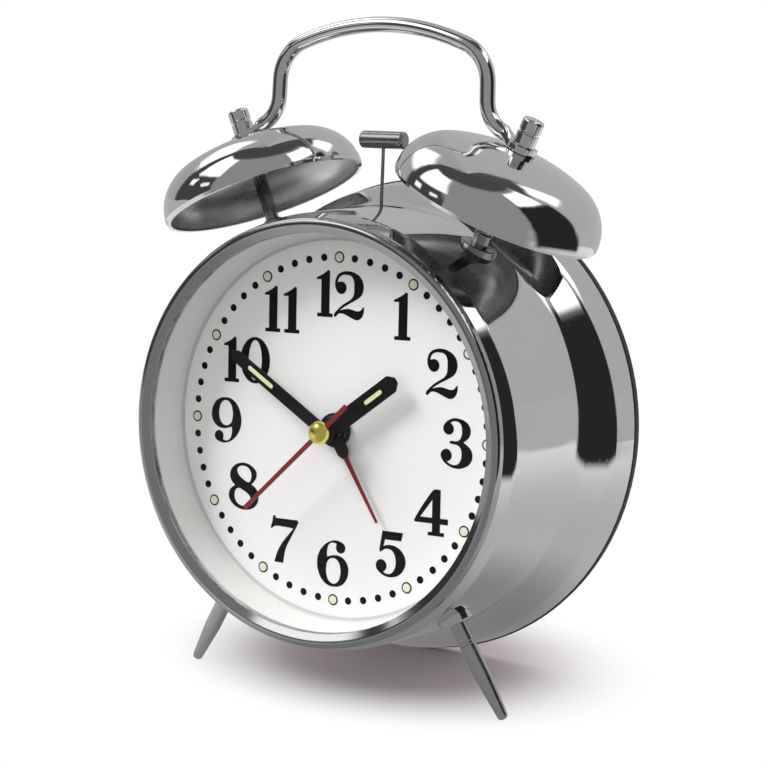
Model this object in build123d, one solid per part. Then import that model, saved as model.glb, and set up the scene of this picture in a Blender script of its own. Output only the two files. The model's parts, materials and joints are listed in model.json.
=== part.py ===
"""Twin-bell alarm clock: a chromed steel drum that leans back on two turned feet.

The clock is drawn lying on its back: X to the right, Y up towards twelve o'clock and Z forward
out of the dial, with the origin at the middle of the dial's face. The last lines stand it up
with +Z upwards, face towards -Y, and the origin under the middle of the whole clock.
All sizes are in millimetres and degrees.
"""
from build123d import *
import math
import os

os.makedirs("parts", exist_ok=True)

# Fits between pieces
seat_gap = 0.12            # room left between two pieces that are assembled and stay put
run_gap = 0.06             # radial room round a shaft that turns
slide_gap = 0.3            # room round a piece that slides or lifts out
press_gap = 0.02           # radial room of a piece pressed on a shaft
through = 6.0              # reach of a cut past both sides of a thin wall
edge_round = 0.3           # small rounding of turned edges

# Dial, lens and front ring
dial_thickness = 0.8
dial_turn = 1.1            # the printed dial sits this far anticlockwise in its case
lens_height = 9.5          # dial face to the back of the lens
lens_thickness = 1.5
bezel_width = 3.1          # case's front edge in to the clear opening
bezel_lip = 1.3            # metal in front of the lens
bezel_overhang = 0.4       # how far the ring stands out past the case's front edge
bezel_band = 1.6           # lens front back to the case's front edge
bezel_spigot = 4.0         # length that goes into the case
bezel_wall = 0.8
bezel_crest = 1.7          # opening to the highest line of the front bead
bezel_inner_round = 0.1
bezel_crest_round = 0.8
bezel_outer_round = 1.2
surround_wall = 1.3        # white ring between lens and dial
surround_foot = 1.9        # how far its foot reaches in over the dial
surround_foot_height = 0.5
surround_foot_round = 0.2

# Drum case, drawn from sheet: how far each corner of its outer line steps outwards and along
case_wall = 0.8
case_front_radius = 50.0
case_shoulder_step = 1.6
case_shoulder_length = 3.4 # front edge to the shoulder
case_shoulder_round = 3.0
case_waist_step = 1.8
case_waist_round = 9.0
case_flare_step = 4.6
case_flare_length = 9.0    # waist to flare
case_flare_round = 7.0
case_rear_step = 1.5
case_rear_length = 9.5     # flare to the rear edge

# Back cover with its battery bay
cover_thickness = 1.8
cover_lip_inset = 0.2      # lip edge inside the case's rear edge
cover_lip_round = 0.6
cover_spigot = 3.0
cover_spigot_wall = 1.5
bay_wall = 2.4
bay_ledge = 1.3            # ledge that the battery door rests on
bay_drop = 25.4            # middle of the bay above the lowest line of the case's waist
bay_room = 4.7             # movement to the battery bay
door_thickness = 1.6
door_rib_count = 4
door_rib_width = 0.8
door_rib_pitch = 2.0

# Battery: a common AA cell
cell_radius = 7.1
cell_length = 49.2
cell_nub_radius = 2.7
cell_nub_length = 1.3
contact_thickness = 0.4
contact_width = 9.0
contact_bow = 0.7          # spring bow of the contact at the flat end

# Bells, posts and cap nuts
bell_lean = 23.9           # bell axis from upright
bell_angle = 32.6          # where its post meets the case, from twelve o'clock
bell_ahead = 7.8           # bell axis ahead of the case's waist
post_reach = 10.1          # case wall to the plane of the bell's rim
bell_radius = 25.5
bell_rim_inset = 0.3       # the rim turns in below the widest line
bell_skirt = 0.8           # rim to widest line
bell_height = 14.8
bell_shoulder = 11.5       # rounding between the skirt and the crown
bell_wall = 0.8
post_radius = 1.65
post_base_radius = 4.6     # thin flange on the case
post_base_height = 0.9
post_ring_radius = 2.3
post_ring_height = 3.0
post_thread_radius = 1.25
post_stud_radius = 1.5
post_stud_length = 10.0    # length inside the case
cap_nut_radius = 2.6
cap_nut_length = 6.5
cap_nut_chamfer = 0.7
cap_nut_groove = 0.35
cap_nut_end = 1.5          # closed end over the thread

# Carrying handle, bent from round rod
handle_radius = 1.85
handle_eye_radius = 3.6
handle_eye_thickness = 1.5
handle_neck_start = 2.16   # eye centre to the flat end of the neck
handle_neck = 5.6          # eye centre to the end of the round rod
handle_neck_width = 5.4
handle_foot_run = 10.9     # eye centre to the lower bend
handle_leg_length = 15.9
handle_leg_lean = 1.8
handle_foot_bend = 8.0
handle_shoulder_bend = 10.0
handle_crown_slope = 20.4
handle_crown_bend = 62.0

# Feet
foot_angle = 37.2          # where a foot meets the case, from six o'clock
foot_behind = 11.0         # foot axis behind the case's shoulder
foot_splay = 30.1          # foot axis from upright, outwards
foot_rake = 5.1            # and towards the rear
foot_length = 24.8         # case wall to the centre of the rounded tip
foot_radius = 2.0
foot_tip_radius = 1.2
foot_tip_round = 1.02
foot_taper_start = 15.0
foot_score_at = 6.4
foot_score_depth = 0.2
foot_score_width = 0.5
foot_stud_radius = 1.5
foot_stud_length = 9.0
foot_collar_radius = 4.25
foot_collar_height = 1.3
foot_collar_round = 0.5

# Inner frame that everything is screwed to
frame_thickness = 2.0
frame_ring_inset = 3.0     # ring inside the case's shoulder
frame_ring_wall = 2.0
frame_ring_depth = 16.4
frame_boss_wall = 2.2
frame_boss_length = 11.0
stud_room = 1.0            # depth left past the end of a stud
column_radius = 3.2
column_inset = 4.0         # column axis inside the ring's outside
column_bearings = (11.0, 169.0, 270.0)
screw_radius = 1.3
screw_length = 11.0
screw_head_radius = 2.4
screw_head_height = 1.6
pillar_radius = 2.5
pillar_spread = 11.0
pillar_rise = 2.5          # above the striker's pivot

# Movement: a tray, a middle plate and a lid with the wheels between them
tray_side_room = 1.1       # motion wheel's teeth to the side wall
tray_bottom = -21.5
tray_top = 27.0
tray_corner = 4.0
tray_wall = 1.2
tray_floor = 1.4
tray_depth = 13.6
lid_thickness = 1.4
middle_plate_at = 8.0      # tray front to the face of the middle plate
middle_plate_thickness = 1.0
tray_column_radius = 2.2
tray_screw_radius = 0.9
tray_screw_head_radius = 1.7
tray_screw_head_height = 1.0
tray_screw_grip = 3.0
bushing_radius = 3.5
dial_nut_radius = 4.1
dial_nut_height = 1.0

# Nested pipes and arbors on the hands' axis
seconds_arbor_radius = 0.55
pipe_wall = 0.54
arbor_radius = 0.9         # arbors that carry the setting knobs
train_arbor_radius = 0.45
arbor_tail = 3.4           # how far a setting arbor stands out behind the movement
pivot_engagement = 1.1     # length of an arbor's end in its plate

# Wheel levels, as depth of each wheel's middle behind the tray's front, and wheel thicknesses
wheel_thickness = 0.9
leaf_thickness = 1.2
alarm_level = 2.3
hour_level = 3.9
minute_level = 5.5
centre_level = 7.0
third_level = 9.8
seconds_level = 11.2
rotor_level = 12.6

# Teeth
rotor_leaves = 8
intermediate_teeth = 48
intermediate_leaves = 8
seconds_teeth = 40
seconds_leaves = 8
third_teeth = 60
third_leaves = 8
centre_teeth = 64
minute_leaves = 10
motion_teeth = 30
motion_leaves = 8
hour_teeth = 32
alarm_leaves = 12
alarm_teeth = 36
rotor_distance = 7.0
intermediate_distance = 7.2
third_distance = 10.2
motion_distance = 11.0
alarm_distance = 11.5
wheel_teeth_form = (0.85, 1.25, 0.30, 0.11)   # addendum, dedendum, root and tip half widths
leaf_teeth_form = (0.75, 1.25, 0.20, 0.11)

# Step motor and circuit board
magnet_radius = 3.0
magnet_length = 2.2
stator_gap = 0.45
stator_half_width = 9.0
stator_leg_width = 3.4
stator_thickness = 1.0
stator_margin = 1.1        # iron left round the rotor hole
coil_rise = 7.8            # rotor axis to coil axis
coil_length = 10.4
coil_height = 5.6
coil_depth = 3.2
board_thickness = 1.0
board_width = 7.2
board_length = 30.0
board_edge_gap = 0.4
crystal_radius = 1.0
crystal_length = 6.0
chip_radius = 2.4
chip_height = 0.9

# Hands: height of each hand over the dial, reach and clock angle
hand_thickness = 0.4
alarm_hand_height = 1.35
alarm_hand_reach = 24.4
alarm_hand_width = 1.1
alarm_hand_root = 7.5
alarm_hand_root_width = 3.2
alarm_hand_hub = 3.3
alarm_hand_angle = 148.3
hour_hand_height = 3.2
hour_hand_reach = 22.8
hour_hand_width = 4.3
hour_hand_hub = 3.1
hour_hand_angle = 53.8
minute_hand_height = 4.9
minute_hand_reach = 32.2
minute_hand_width = 3.6
minute_hand_hub = 2.7
minute_hand_angle = 302.3
hand_point = 1.6           # length of the pointed end
second_hand_height = 6.9
second_hand_reach = 29.4
second_hand_tail = 9.9
second_hand_width = 0.9
second_hand_hub = 1.7
second_hand_angle = 226.3
hub_proud = 0.2            # pipe end in front of its hand
lume_width = 1.5
hour_lume_from = 11.9
hour_lume_to = 18.6
minute_lume_from = 17.1
minute_lume_to = 26.6
hand_cap_radius = 2.5
hand_cap_height = 1.75
hand_cap_round = 1.4

# Setting knobs and alarm switch on the back
knob_radius = 6.0
knob_height = 6.0
knob_stem_radius = 2.5
knob_flute_count = 18
knob_flute_radius = 0.6
knob_standoff = 0.8
knob_chamfer = 0.6
switch_y = 22.0
switch_travel = 4.0
switch_width = 6.0
switch_height = 4.0
switch_button = 2.4
switch_stem_width = 3.0
switch_stem_height = 2.0
switch_keeper_margin = 2.0
switch_keeper_thickness = 1.2
switch_rib_count = 3
switch_rib_width = 0.5

# Striker that rings the bells
hammer_behind = 2.3        # striker behind the plane of the bells
hammer_head_rise = 17.2    # head above the case's shoulder line
hammer_head_radius = 2.1
hammer_head_length = 12.2
hammer_head_round = 0.7
hammer_rod_radius = 0.42
hammer_rod_grip = 2.0      # rod inside the head and inside the rocker
hammer_pivot_drop = 12.1   # pivot below the case's shoulder line
pivot_pin_radius = 0.75
pivot_pin_head = 1.5
pivot_pin_head_height = 0.8
rocker_half_length = 12.0
rocker_height = 3.0
rocker_depth = 4.0
rocker_hub_radius = 2.6
rocker_hub_length = 5.0
slot_half_length = 6.4
slot_width = 2.0
notch_half_width = 8.0
notch_depth = 4.5
ringer_plate_thickness = 1.2
ringer_plate_half_width = 14.0
ringer_plate_drop = 12.0   # pivot to the plate's lower edge
ringer_plate_rise = 4.6
ringer_screw_length = 5.0
core_spread = 8.5
core_radius = 1.6
core_drop = 4.5            # pivot to the pole tops
yoke_thickness = 1.4
yoke_overhang = 2.5
ringer_coil_radius = 3.2
ringer_coil_end_gap = 0.5

# Depths and radii that follow from the sizes above
dial_back_z = -dial_thickness
frame_back_z = dial_back_z - frame_thickness
tray_back_z = frame_back_z - tray_depth
lid_back_z = tray_back_z - lid_thickness
middle_front_z = frame_back_z - middle_plate_at
middle_back_z = middle_front_z - middle_plate_thickness
lens_front_z = lens_height + lens_thickness
bezel_front_z = lens_front_z + bezel_lip
case_shoulder_radius = case_front_radius + case_shoulder_step
case_waist_radius = case_shoulder_radius + case_waist_step
case_flare_radius = case_waist_radius + case_flare_step
case_rear_radius = case_flare_radius + case_rear_step
bezel_opening = case_front_radius - bezel_width
bay_half_height = cell_radius + slide_gap
bay_floor_z = lid_back_z - tray_screw_head_height - bay_room - bay_wall
cover_rear_z = bay_floor_z - 2 * bay_half_height - door_thickness
case_rear_z = cover_rear_z + cover_thickness
case_flare_z = case_rear_z + case_rear_length
case_waist_z = case_flare_z + case_flare_length
case_front_z = lens_front_z - bezel_band
case_shoulder_z = case_front_z - case_shoulder_length
bell_z = case_waist_z + bell_ahead
bell_shoulder_x = bell_radius - bell_shoulder
bell_rise = bell_height - bell_skirt
bell_crown = (bell_shoulder_x ** 2 + bell_rise ** 2 - bell_shoulder ** 2) / (2 * (bell_rise - bell_shoulder))
foot_z = case_shoulder_z - foot_behind
hammer_z = bell_z - hammer_behind
hammer_head_y = case_shoulder_radius + hammer_head_rise
hammer_pivot_y = case_shoulder_radius - hammer_pivot_drop
spigot_outer = case_front_radius - case_wall - seat_gap
spigot_inner = spigot_outer - bezel_wall
stack_radius = spigot_inner - seat_gap
cover_lip_radius = case_rear_radius - cover_lip_inset
rear_slope = (case_rear_radius - case_flare_radius) / (case_flare_z - case_rear_z)
cover_spigot_radius = case_rear_radius - case_wall - rear_slope * cover_spigot - seat_gap
bay_half_length = (cell_length + cell_nub_length) / 2 + contact_thickness + contact_bow / 2
cell_z = cover_rear_z + door_thickness + bay_half_height
bay_y = bay_drop - case_waist_radius
frame_radius = case_shoulder_radius - case_wall - slide_gap
frame_ring_radius = case_shoulder_radius - frame_ring_inset
column_circle = frame_ring_radius - column_inset
column_spots = []
for bearing in column_bearings:
    turn = math.radians(bearing)
    column_spots.append((column_circle * math.cos(turn), column_circle * math.sin(turn)))
pillar_spots = [(side * pillar_spread, hammer_pivot_y + pillar_rise) for side in (-1, 1)]
minute_pipe_inner = seconds_arbor_radius + run_gap
minute_pipe_outer = minute_pipe_inner + pipe_wall
hour_pipe_inner = minute_pipe_outer + run_gap
hour_pipe_outer = hour_pipe_inner + pipe_wall
alarm_pipe_inner = hour_pipe_outer + run_gap
alarm_pipe_outer = alarm_pipe_inner + pipe_wall
intermediate_spot = (0.0, intermediate_distance)
rotor_spot = (0.0, intermediate_distance + rotor_distance)
third_spot = (0.0, -third_distance)
motion_spot = (motion_distance, 0.0)
motion_module = 2 * motion_distance / (motion_teeth + minute_leaves)
motion_tip = motion_module * (motion_teeth / 2 + wheel_teeth_form[0])
tray_half_width = motion_distance + motion_tip + tray_side_room + tray_wall
alarm_spot = (-alarm_distance, 0.0)
SIDES = {"left": -1, "right": 1}
BASE = (Align.CENTER, Align.CENTER, Align.MIN)


def rod(radius, back, front):
    """Round bar along Z between two depths."""
    return Pos(0, 0, back) * Cylinder(radius, front - back, align=BASE)


def tube(outer, inner, back, front):
    return rod(outer, back, front) - rod(inner, back, front)


def block(left, right, bottom, top, back, front):
    size = (right - left, top - bottom, front - back)
    return Pos(left, bottom, back) * Box(*size, align=(Align.MIN,) * 3)


def turned(*corners):
    """Solid turned about Z from the (radius, depth, rounding) corners of its half section."""
    points = [(radius, depth) for radius, depth, _ in corners]
    rounding = [corner[2] for corner in corners]
    outline = FilletPolyline(*points, radius=rounding, close=True)
    return revolve(Plane.XZ * make_face(outline), Axis.Z)


def plate(outline, back, front):
    """Flat outline in X and Y made a plate between two depths."""
    return extrude(Pos(0, 0, back) * outline, front - back)


def case_radius(depth):
    """Outer radius of the drum's long band at a depth."""
    share = (case_shoulder_z - depth) / (case_shoulder_z - case_waist_z)
    return case_shoulder_radius + share * (case_waist_radius - case_shoulder_radius)


def case_form(inset):
    """Solid drum whose wall lies inset inside the case's outer line."""
    return turned(
        (0, case_front_z, 0),
        (case_front_radius - inset, case_front_z, 0),
        (case_shoulder_radius - inset, case_shoulder_z, case_shoulder_round),
        (case_waist_radius - inset, case_waist_z, case_waist_round),
        (case_flare_radius - inset, case_flare_z, case_flare_round),
        (case_rear_radius - inset, case_rear_z, 0),
        (0, case_rear_z, 0),
    )


def direction(from_up, side, rake=0.0):
    """Unit vector that leans from +Y towards one side, and rearwards by rake."""
    across = math.sin(math.radians(from_up)) * math.cos(math.radians(rake))
    up = math.cos(math.radians(from_up)) * math.cos(math.radians(rake))
    return Vector(side * across, up, -math.sin(math.radians(rake)))


def on_case(from_up, side, depth):
    """Point on the drum's outside at an angle from twelve o'clock."""
    angle = math.radians(from_up)
    radius = case_radius(depth)
    return Vector(side * radius * math.sin(angle), radius * math.cos(angle), depth)


def bell_place(side):
    """Place whose Z runs up the bell's axis from the middle of its rim."""
    axis = direction(bell_lean, side)
    rim = on_case(bell_angle, side, bell_z) + axis * post_reach
    return Plane(origin=rim, x_dir=(0, 0, 1), z_dir=axis).location


def foot_place(side):
    """Place whose Z runs down a foot from the drum's outside."""
    axis = direction(180 - foot_splay, side, foot_rake)
    return Plane(origin=on_case(180 - foot_angle, side, foot_z), x_dir=(0, 0, 1), z_dir=axis).location


def level(depth, thickness):
    """Back and front of a wheel whose middle lies at a depth behind the tray's front."""
    middle = frame_back_z - depth
    return middle - thickness / 2, middle + thickness / 2


def module_of(distance, teeth, leaves):
    return 2 * distance / (teeth + leaves)


def meshing_turn(turn, teeth, other_teeth, bearing):
    """Turn that sets the other wheel's gap on this wheel's tooth, along the line of centres."""
    return bearing + 180 - (turn - bearing) * teeth / other_teeth + 180 / other_teeth


def toothed(teeth, module, form, turn, back, front):
    """Wheel or pinion with straight-sided clock teeth, four corners to a tooth."""
    addendum, dedendum, root_half, tip_half = form
    tip = (teeth / 2 + addendum) * module
    root = (teeth / 2 - dedendum) * module
    corners = []
    for tooth in range(teeth):
        for half, radius in ((-root_half, root), (-tip_half, tip), (tip_half, tip), (root_half, root)):
            angle = math.radians(turn + (tooth + half) * 360 / teeth)
            corners.append((radius * math.cos(angle), radius * math.sin(angle)))
    return plate(make_face(Polyline(*corners, close=True)), back, front)


def wheel(teeth, module, turn, depth):
    return toothed(teeth, module, wheel_teeth_form, turn, *level(depth, wheel_thickness))


def pinion(leaves, module, turn, depth):
    return toothed(leaves, module, leaf_teeth_form, turn, *level(depth, leaf_thickness))


# Case, front and back


def make_case_drum():
    drum = case_form(0) - case_form(case_wall)
    for side in SIDES.values():
        wall = -post_reach
        drum -= bell_place(side) * rod(post_stud_radius + seat_gap, wall - through, wall + through)
        drum -= foot_place(side) * rod(foot_stud_radius + seat_gap, -through, through)
    slot = SlotOverall(2 * slot_half_length, slot_width)
    start = case_radius(hammer_z) - through
    upwards = Plane(origin=(0, start, hammer_z), x_dir=(1, 0, 0), z_dir=(0, 1, 0))
    return drum - extrude(upwards * slot, 2 * through)


def make_front_bezel():
    outer = case_front_radius + bezel_overhang
    return turned(
        (bezel_opening, lens_front_z, 0),
        (bezel_opening, lens_front_z + bezel_lip / 4, bezel_inner_round),
        (bezel_opening + bezel_crest, bezel_front_z, bezel_crest_round),
        (outer, bezel_front_z, bezel_outer_round),
        (outer, case_front_z, edge_round),
        (spigot_outer, case_front_z, 0),
        (spigot_outer, case_front_z - bezel_spigot, 0),
        (spigot_inner, case_front_z - bezel_spigot, 0),
        (spigot_inner, lens_front_z, 0),
    )


def make_lens():
    return rod(stack_radius, lens_height, lens_front_z)


def make_dial_surround():
    wall = stack_radius - surround_wall
    foot = wall - surround_foot
    return turned(
        (stack_radius, 0, 0),
        (stack_radius, lens_height, 0),
        (wall, lens_height, 0),
        (wall - surround_wall / 2, surround_foot_height, 0),
        (foot, surround_foot_height, surround_foot_round),
        (foot, 0, 0),
    )


def make_dial():
    return tube(stack_radius, bushing_radius + seat_gap, dial_back_z, 0)


def screw(x, y, head_z, length, radius, head_radius, head_height):
    """Cheese-head screw driven forwards, with a screwdriver slot in its head."""
    end = head_z - head_height
    body = rod(radius, head_z, head_z + length) + rod(head_radius, end, head_z)
    slot = block(-head_radius, head_radius, -radius / 4, radius / 4, end, end + head_height / 2)
    return Pos(x, y, 0) * (body - slot)


def make_inner_frame():
    frame = rod(frame_radius, frame_back_z, dial_back_z)
    ring_back = frame_back_z - frame_ring_depth
    frame += tube(frame_ring_radius, frame_ring_radius - frame_ring_wall, ring_back, frame_back_z)
    for side in SIDES.values():
        post = bell_place(side)
        foot = foot_place(side)
        post_in = -post_reach - case_wall
        frame += post * rod(post_stud_radius + frame_boss_wall, post_in - frame_boss_length, -post_reach)
        frame += foot * rod(foot_stud_radius + frame_boss_wall, -frame_boss_length, 0)
    frame = frame & case_form(case_wall + seat_gap)
    frame -= rod(case_shoulder_radius, dial_back_z, case_front_z)
    for x, y in column_spots:
        frame += Pos(x, y, 0) * rod(column_radius, case_rear_z, frame_back_z)
        frame -= Pos(x, y, 0) * rod(screw_radius, case_rear_z, case_rear_z + screw_length)
    for x, y in pillar_spots:
        pillar_end = ringer_plate_front()
        frame += Pos(x, y, 0) * rod(pillar_radius, pillar_end, frame_back_z)
        frame -= Pos(x, y, 0) * rod(tray_screw_radius, pillar_end, pillar_end + ringer_screw_length)
    for side in SIDES.values():
        frame -= bell_place(side) * rod(post_stud_radius, -post_reach - post_stud_length - stud_room, 0)
        frame -= foot_place(side) * rod(foot_stud_radius, -foot_stud_length - stud_room, 0)
    notch_front = hammer_z + notch_depth / 2
    notch_top = case_radius(ring_back)
    frame -= block(-notch_half_width, notch_half_width, hammer_pivot_y, notch_top, ring_back, notch_front)
    return frame - rod(bushing_radius + seat_gap, frame_back_z, dial_back_z)


def make_back_cover():
    cover = turned(
        (0, case_rear_z, 0),
        (0, cover_rear_z, 0),
        (cover_lip_radius, cover_rear_z, cover_lip_round),
        (cover_lip_radius, case_rear_z, 0),
    )
    spigot_inner_radius = cover_spigot_radius - cover_spigot_wall
    cover += tube(cover_spigot_radius, spigot_inner_radius, case_rear_z, case_rear_z + cover_spigot)
    length = bay_half_length + bay_wall
    height = bay_half_height + bay_wall
    cover += block(-length, length, bay_y - height, bay_y + height, case_rear_z, bay_floor_z + bay_wall)
    cover -= block(
        -bay_half_length, bay_half_length, bay_y - bay_half_height, bay_y + bay_half_height,
        cover_rear_z, bay_floor_z)
    length = bay_half_length + bay_ledge
    height = bay_half_height + bay_ledge
    cover -= block(
        -length, length, bay_y - height, bay_y + height, cover_rear_z, cover_rear_z + door_thickness)
    for x, y in (motion_spot, alarm_spot):
        cover -= Pos(x, y, 0) * rod(knob_stem_radius + run_gap, cover_rear_z, case_rear_z)
    for x, y in column_spots:
        cover -= Pos(x, y, 0) * rod(screw_radius + seat_gap, cover_rear_z, case_rear_z)
    half = (switch_stem_width + switch_travel) / 2 + slide_gap
    rise = switch_stem_height / 2 + slide_gap
    return cover - block(-half, half, switch_y - rise, switch_y + rise, cover_rear_z, case_rear_z)


def make_battery_door():
    length = bay_half_length + bay_ledge - slide_gap
    height = bay_half_height + bay_ledge - slide_gap
    door = block(
        -length, length, bay_y - height, bay_y + height, cover_rear_z, cover_rear_z + door_thickness)
    for rib in range(door_rib_count):
        left = length - door_rib_pitch / 2 - (rib + 1) * door_rib_pitch
        door -= block(
            left, left + door_rib_width, bay_y - height / 2, bay_y + height / 2,
            cover_rear_z, cover_rear_z + door_thickness / 3)
    return door


def make_battery():
    upright = rod(cell_radius, 0, cell_length)
    upright = fillet(upright.edges().filter_by(GeomType.CIRCLE), cell_radius / 12)
    upright += rod(cell_nub_radius, cell_length, cell_length + cell_nub_length)
    start = -bay_half_length + contact_thickness + contact_bow
    return Plane(origin=(start, bay_y, cell_z), x_dir=(0, 1, 0), z_dir=(1, 0, 0)).location * upright


def contact_plate():
    """Flat spring strip that stands at an end of the battery bay."""
    half = contact_width / 2
    return block(0, contact_thickness, -half, half, -half, half)


def make_contact_plus():
    return Pos(bay_half_length - contact_thickness, bay_y, cell_z) * contact_plate()


def make_contact_minus():
    bow = rod(cell_nub_radius, 0, contact_bow)
    across = Plane(origin=(contact_thickness, 0, 0), x_dir=(0, 1, 0), z_dir=(1, 0, 0)).location
    return Pos(-bay_half_length, bay_y, cell_z) * (contact_plate() + across * bow)


def make_back_screws():
    size = (screw_length, screw_radius, screw_head_radius, screw_head_height)
    return [screw(x, y, cover_rear_z, *size) for x, y in column_spots]


# Bells, handle and feet


def bell_half_dome(inset):
    """Shoulder and crown of the dome's half section, inset from its outside."""
    slope = math.degrees(math.atan2(bell_crown - bell_rise, bell_shoulder_x))
    shoulder = CenterArc((bell_shoulder_x, bell_skirt), bell_shoulder - inset, 0, slope)
    crown = CenterArc((0, bell_height - bell_crown), bell_crown - inset, slope, 90 - slope)
    return shoulder, crown


def make_bell(side):
    shoulder, crown = bell_half_dome(0)
    inner_shoulder, inner_crown = bell_half_dome(bell_wall)
    rim = bell_radius - bell_rim_inset
    section = make_face([
        shoulder,
        crown,
        Line(crown @ 1, inner_crown @ 1),
        inner_crown,
        inner_shoulder,
        Line(inner_shoulder @ 0, (rim - bell_wall, 0)),
        Line((rim - bell_wall, 0), (rim, 0)),
        Line((rim, 0), shoulder @ 0),
    ])
    dome = revolve(Plane.XZ * section, Axis.Z)
    return bell_place(side) * (dome - rod(post_thread_radius + seat_gap, 0, bell_height))


def bell_inside(radius):
    """Height of the bell's inner face over its rim, at a distance from its axis."""
    return bell_height - bell_crown + math.sqrt((bell_crown - bell_wall) ** 2 - radius ** 2)


def make_bell_post(side):
    shoulder = bell_inside(post_radius)
    thread_end = bell_height + handle_eye_thickness + cap_nut_length - cap_nut_end
    base = -post_reach - 2 * case_wall
    ring = -post_reach + post_base_height
    post = turned(
        (0, base, 0),
        (post_base_radius, base, 0),
        (post_base_radius, ring, edge_round),
        (post_ring_radius, ring, 0),
        (post_ring_radius, ring + post_ring_height, edge_round),
        (post_radius, ring + post_ring_height, 0),
        (post_radius, shoulder, 0),
        (post_thread_radius, shoulder, 0),
        (post_thread_radius, thread_end, 0),
        (0, thread_end, 0),
    )
    post = bell_place(side) * post - case_form(0)
    stud = rod(post_stud_radius, -post_reach - post_stud_length, -post_reach + post_base_height)
    return post + bell_place(side) * stud


def make_cap_nuts():
    foot = bell_height + handle_eye_thickness
    top = foot + cap_nut_length
    middle = foot + cap_nut_length / 2
    waist = cap_nut_radius - cap_nut_groove
    bore = post_thread_radius + press_gap
    nut = turned(
        (bore, foot, 0),
        (cap_nut_radius, foot, edge_round),
        (cap_nut_radius, middle - cap_nut_groove, 0),
        (waist, middle - cap_nut_groove / 2, 0),
        (waist, middle + cap_nut_groove / 2, 0),
        (cap_nut_radius, middle + cap_nut_groove, 0),
        (cap_nut_radius, top, cap_nut_chamfer),
        (0, top, 0),
        (0, top - cap_nut_end, 0),
        (bore, top - cap_nut_end, 0),
    )
    return [bell_place(side) * nut for side in SIDES.values()]


def handle_route(side):
    """Corners of one half of the handle's centre line, from the eye up to the shoulder bend."""
    axis = direction(bell_lean, side)
    inwards = Vector(-axis.Y * side, axis.X * side, 0)
    rim = on_case(bell_angle, side, bell_z) + axis * post_reach
    eye = rim + axis * (bell_height + handle_radius + seat_gap)
    lower = eye + inwards * handle_foot_run
    leg = direction(handle_leg_lean, -side)
    return [eye + inwards * handle_neck, lower, lower + leg * handle_leg_length]


def make_handle():
    left = handle_route(-1)
    right = handle_route(1)
    crown_rise = right[2].X * math.tan(math.radians(handle_crown_slope))
    crown = Vector(0, right[2].Y + crown_rise, bell_z)
    half_bends = [handle_foot_bend, handle_shoulder_bend]
    bends = half_bends + [handle_crown_bend] + half_bends[::-1]
    route = FilletPolyline(*left, crown, *reversed(right), radius=bends)
    handle = sweep(Plane(origin=route @ 0, z_dir=route % 0) * Circle(handle_radius), route)
    for side in SIDES.values():
        handle += handle_eye(side)
    return handle


def handle_eye(side):
    """Flattened end that the cap nut clamps on top of the bell, and its neck to the round rod."""
    rod_height = bell_height + handle_radius + seat_gap
    inwards = -side
    flat_height = bell_height + handle_eye_thickness / 2
    along = {"x_dir": (1, 0, 0), "z_dir": (0, inwards, 0)}
    neck_end = Plane(origin=(0, inwards * handle_neck, rod_height), **along)
    flat = Plane(origin=(0, inwards * handle_neck_start, flat_height), **along)
    neck = loft([
        flat * Rectangle(handle_neck_width, handle_eye_thickness),
        neck_end * Circle(handle_radius),
    ])
    eye = tube(
        handle_eye_radius, post_thread_radius + seat_gap, bell_height, bell_height + handle_eye_thickness)
    neck -= rod(post_thread_radius + seat_gap, 0, 2 * rod_height)
    neck -= rod(cap_nut_radius + seat_gap, bell_height + handle_eye_thickness, 2 * rod_height)
    return bell_place(side) * (eye + neck)


def make_foot(side):
    waist = foot_radius - foot_score_depth
    end = foot_length + foot_tip_radius
    leg = turned(
        (0, -foot_radius, 0),
        (foot_radius, -foot_radius, 0),
        (foot_radius, foot_score_at - foot_score_width, 0),
        (waist, foot_score_at - foot_score_width / 2, 0),
        (waist, foot_score_at + foot_score_width / 2, 0),
        (foot_radius, foot_score_at + foot_score_width, 0),
        (foot_radius, foot_taper_start, foot_radius),
        (foot_tip_radius, end, foot_tip_round),
        (0, end, 0),
    )
    leg = foot_place(side) * leg - case_form(0)
    return leg + foot_place(side) * rod(foot_stud_radius, -foot_stud_length, foot_radius)


def make_foot_collars():
    """Washers under the legs, hollowed to sit on the round case."""
    collar = turned(
        (foot_radius + seat_gap, -foot_collar_radius, 0),
        (foot_collar_radius, -foot_collar_radius, 0),
        (foot_collar_radius, foot_collar_height, foot_collar_round),
        (foot_radius + seat_gap, foot_collar_height, 0),
    )
    drum = case_form(0)
    return [foot_place(side) * collar - drum for side in SIDES.values()]


# Movement


def tray_outline(inset):
    middle = (tray_top + tray_bottom) / 2
    width = 2 * (tray_half_width - inset)
    height = tray_top - tray_bottom - 2 * inset
    return Pos(0, middle) * RectangleRounded(width, height, tray_corner - inset)


def tray_column_spots():
    x = tray_half_width - tray_corner
    return [
        (side * x, y)
        for side in SIDES.values()
        for y in (tray_bottom + tray_corner, tray_top - tray_corner)
    ]


def drilled(piece, radius, spots, back, front):
    for x, y in spots:
        piece -= Pos(x, y, 0) * rod(radius, back, front)
    return piece


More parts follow.
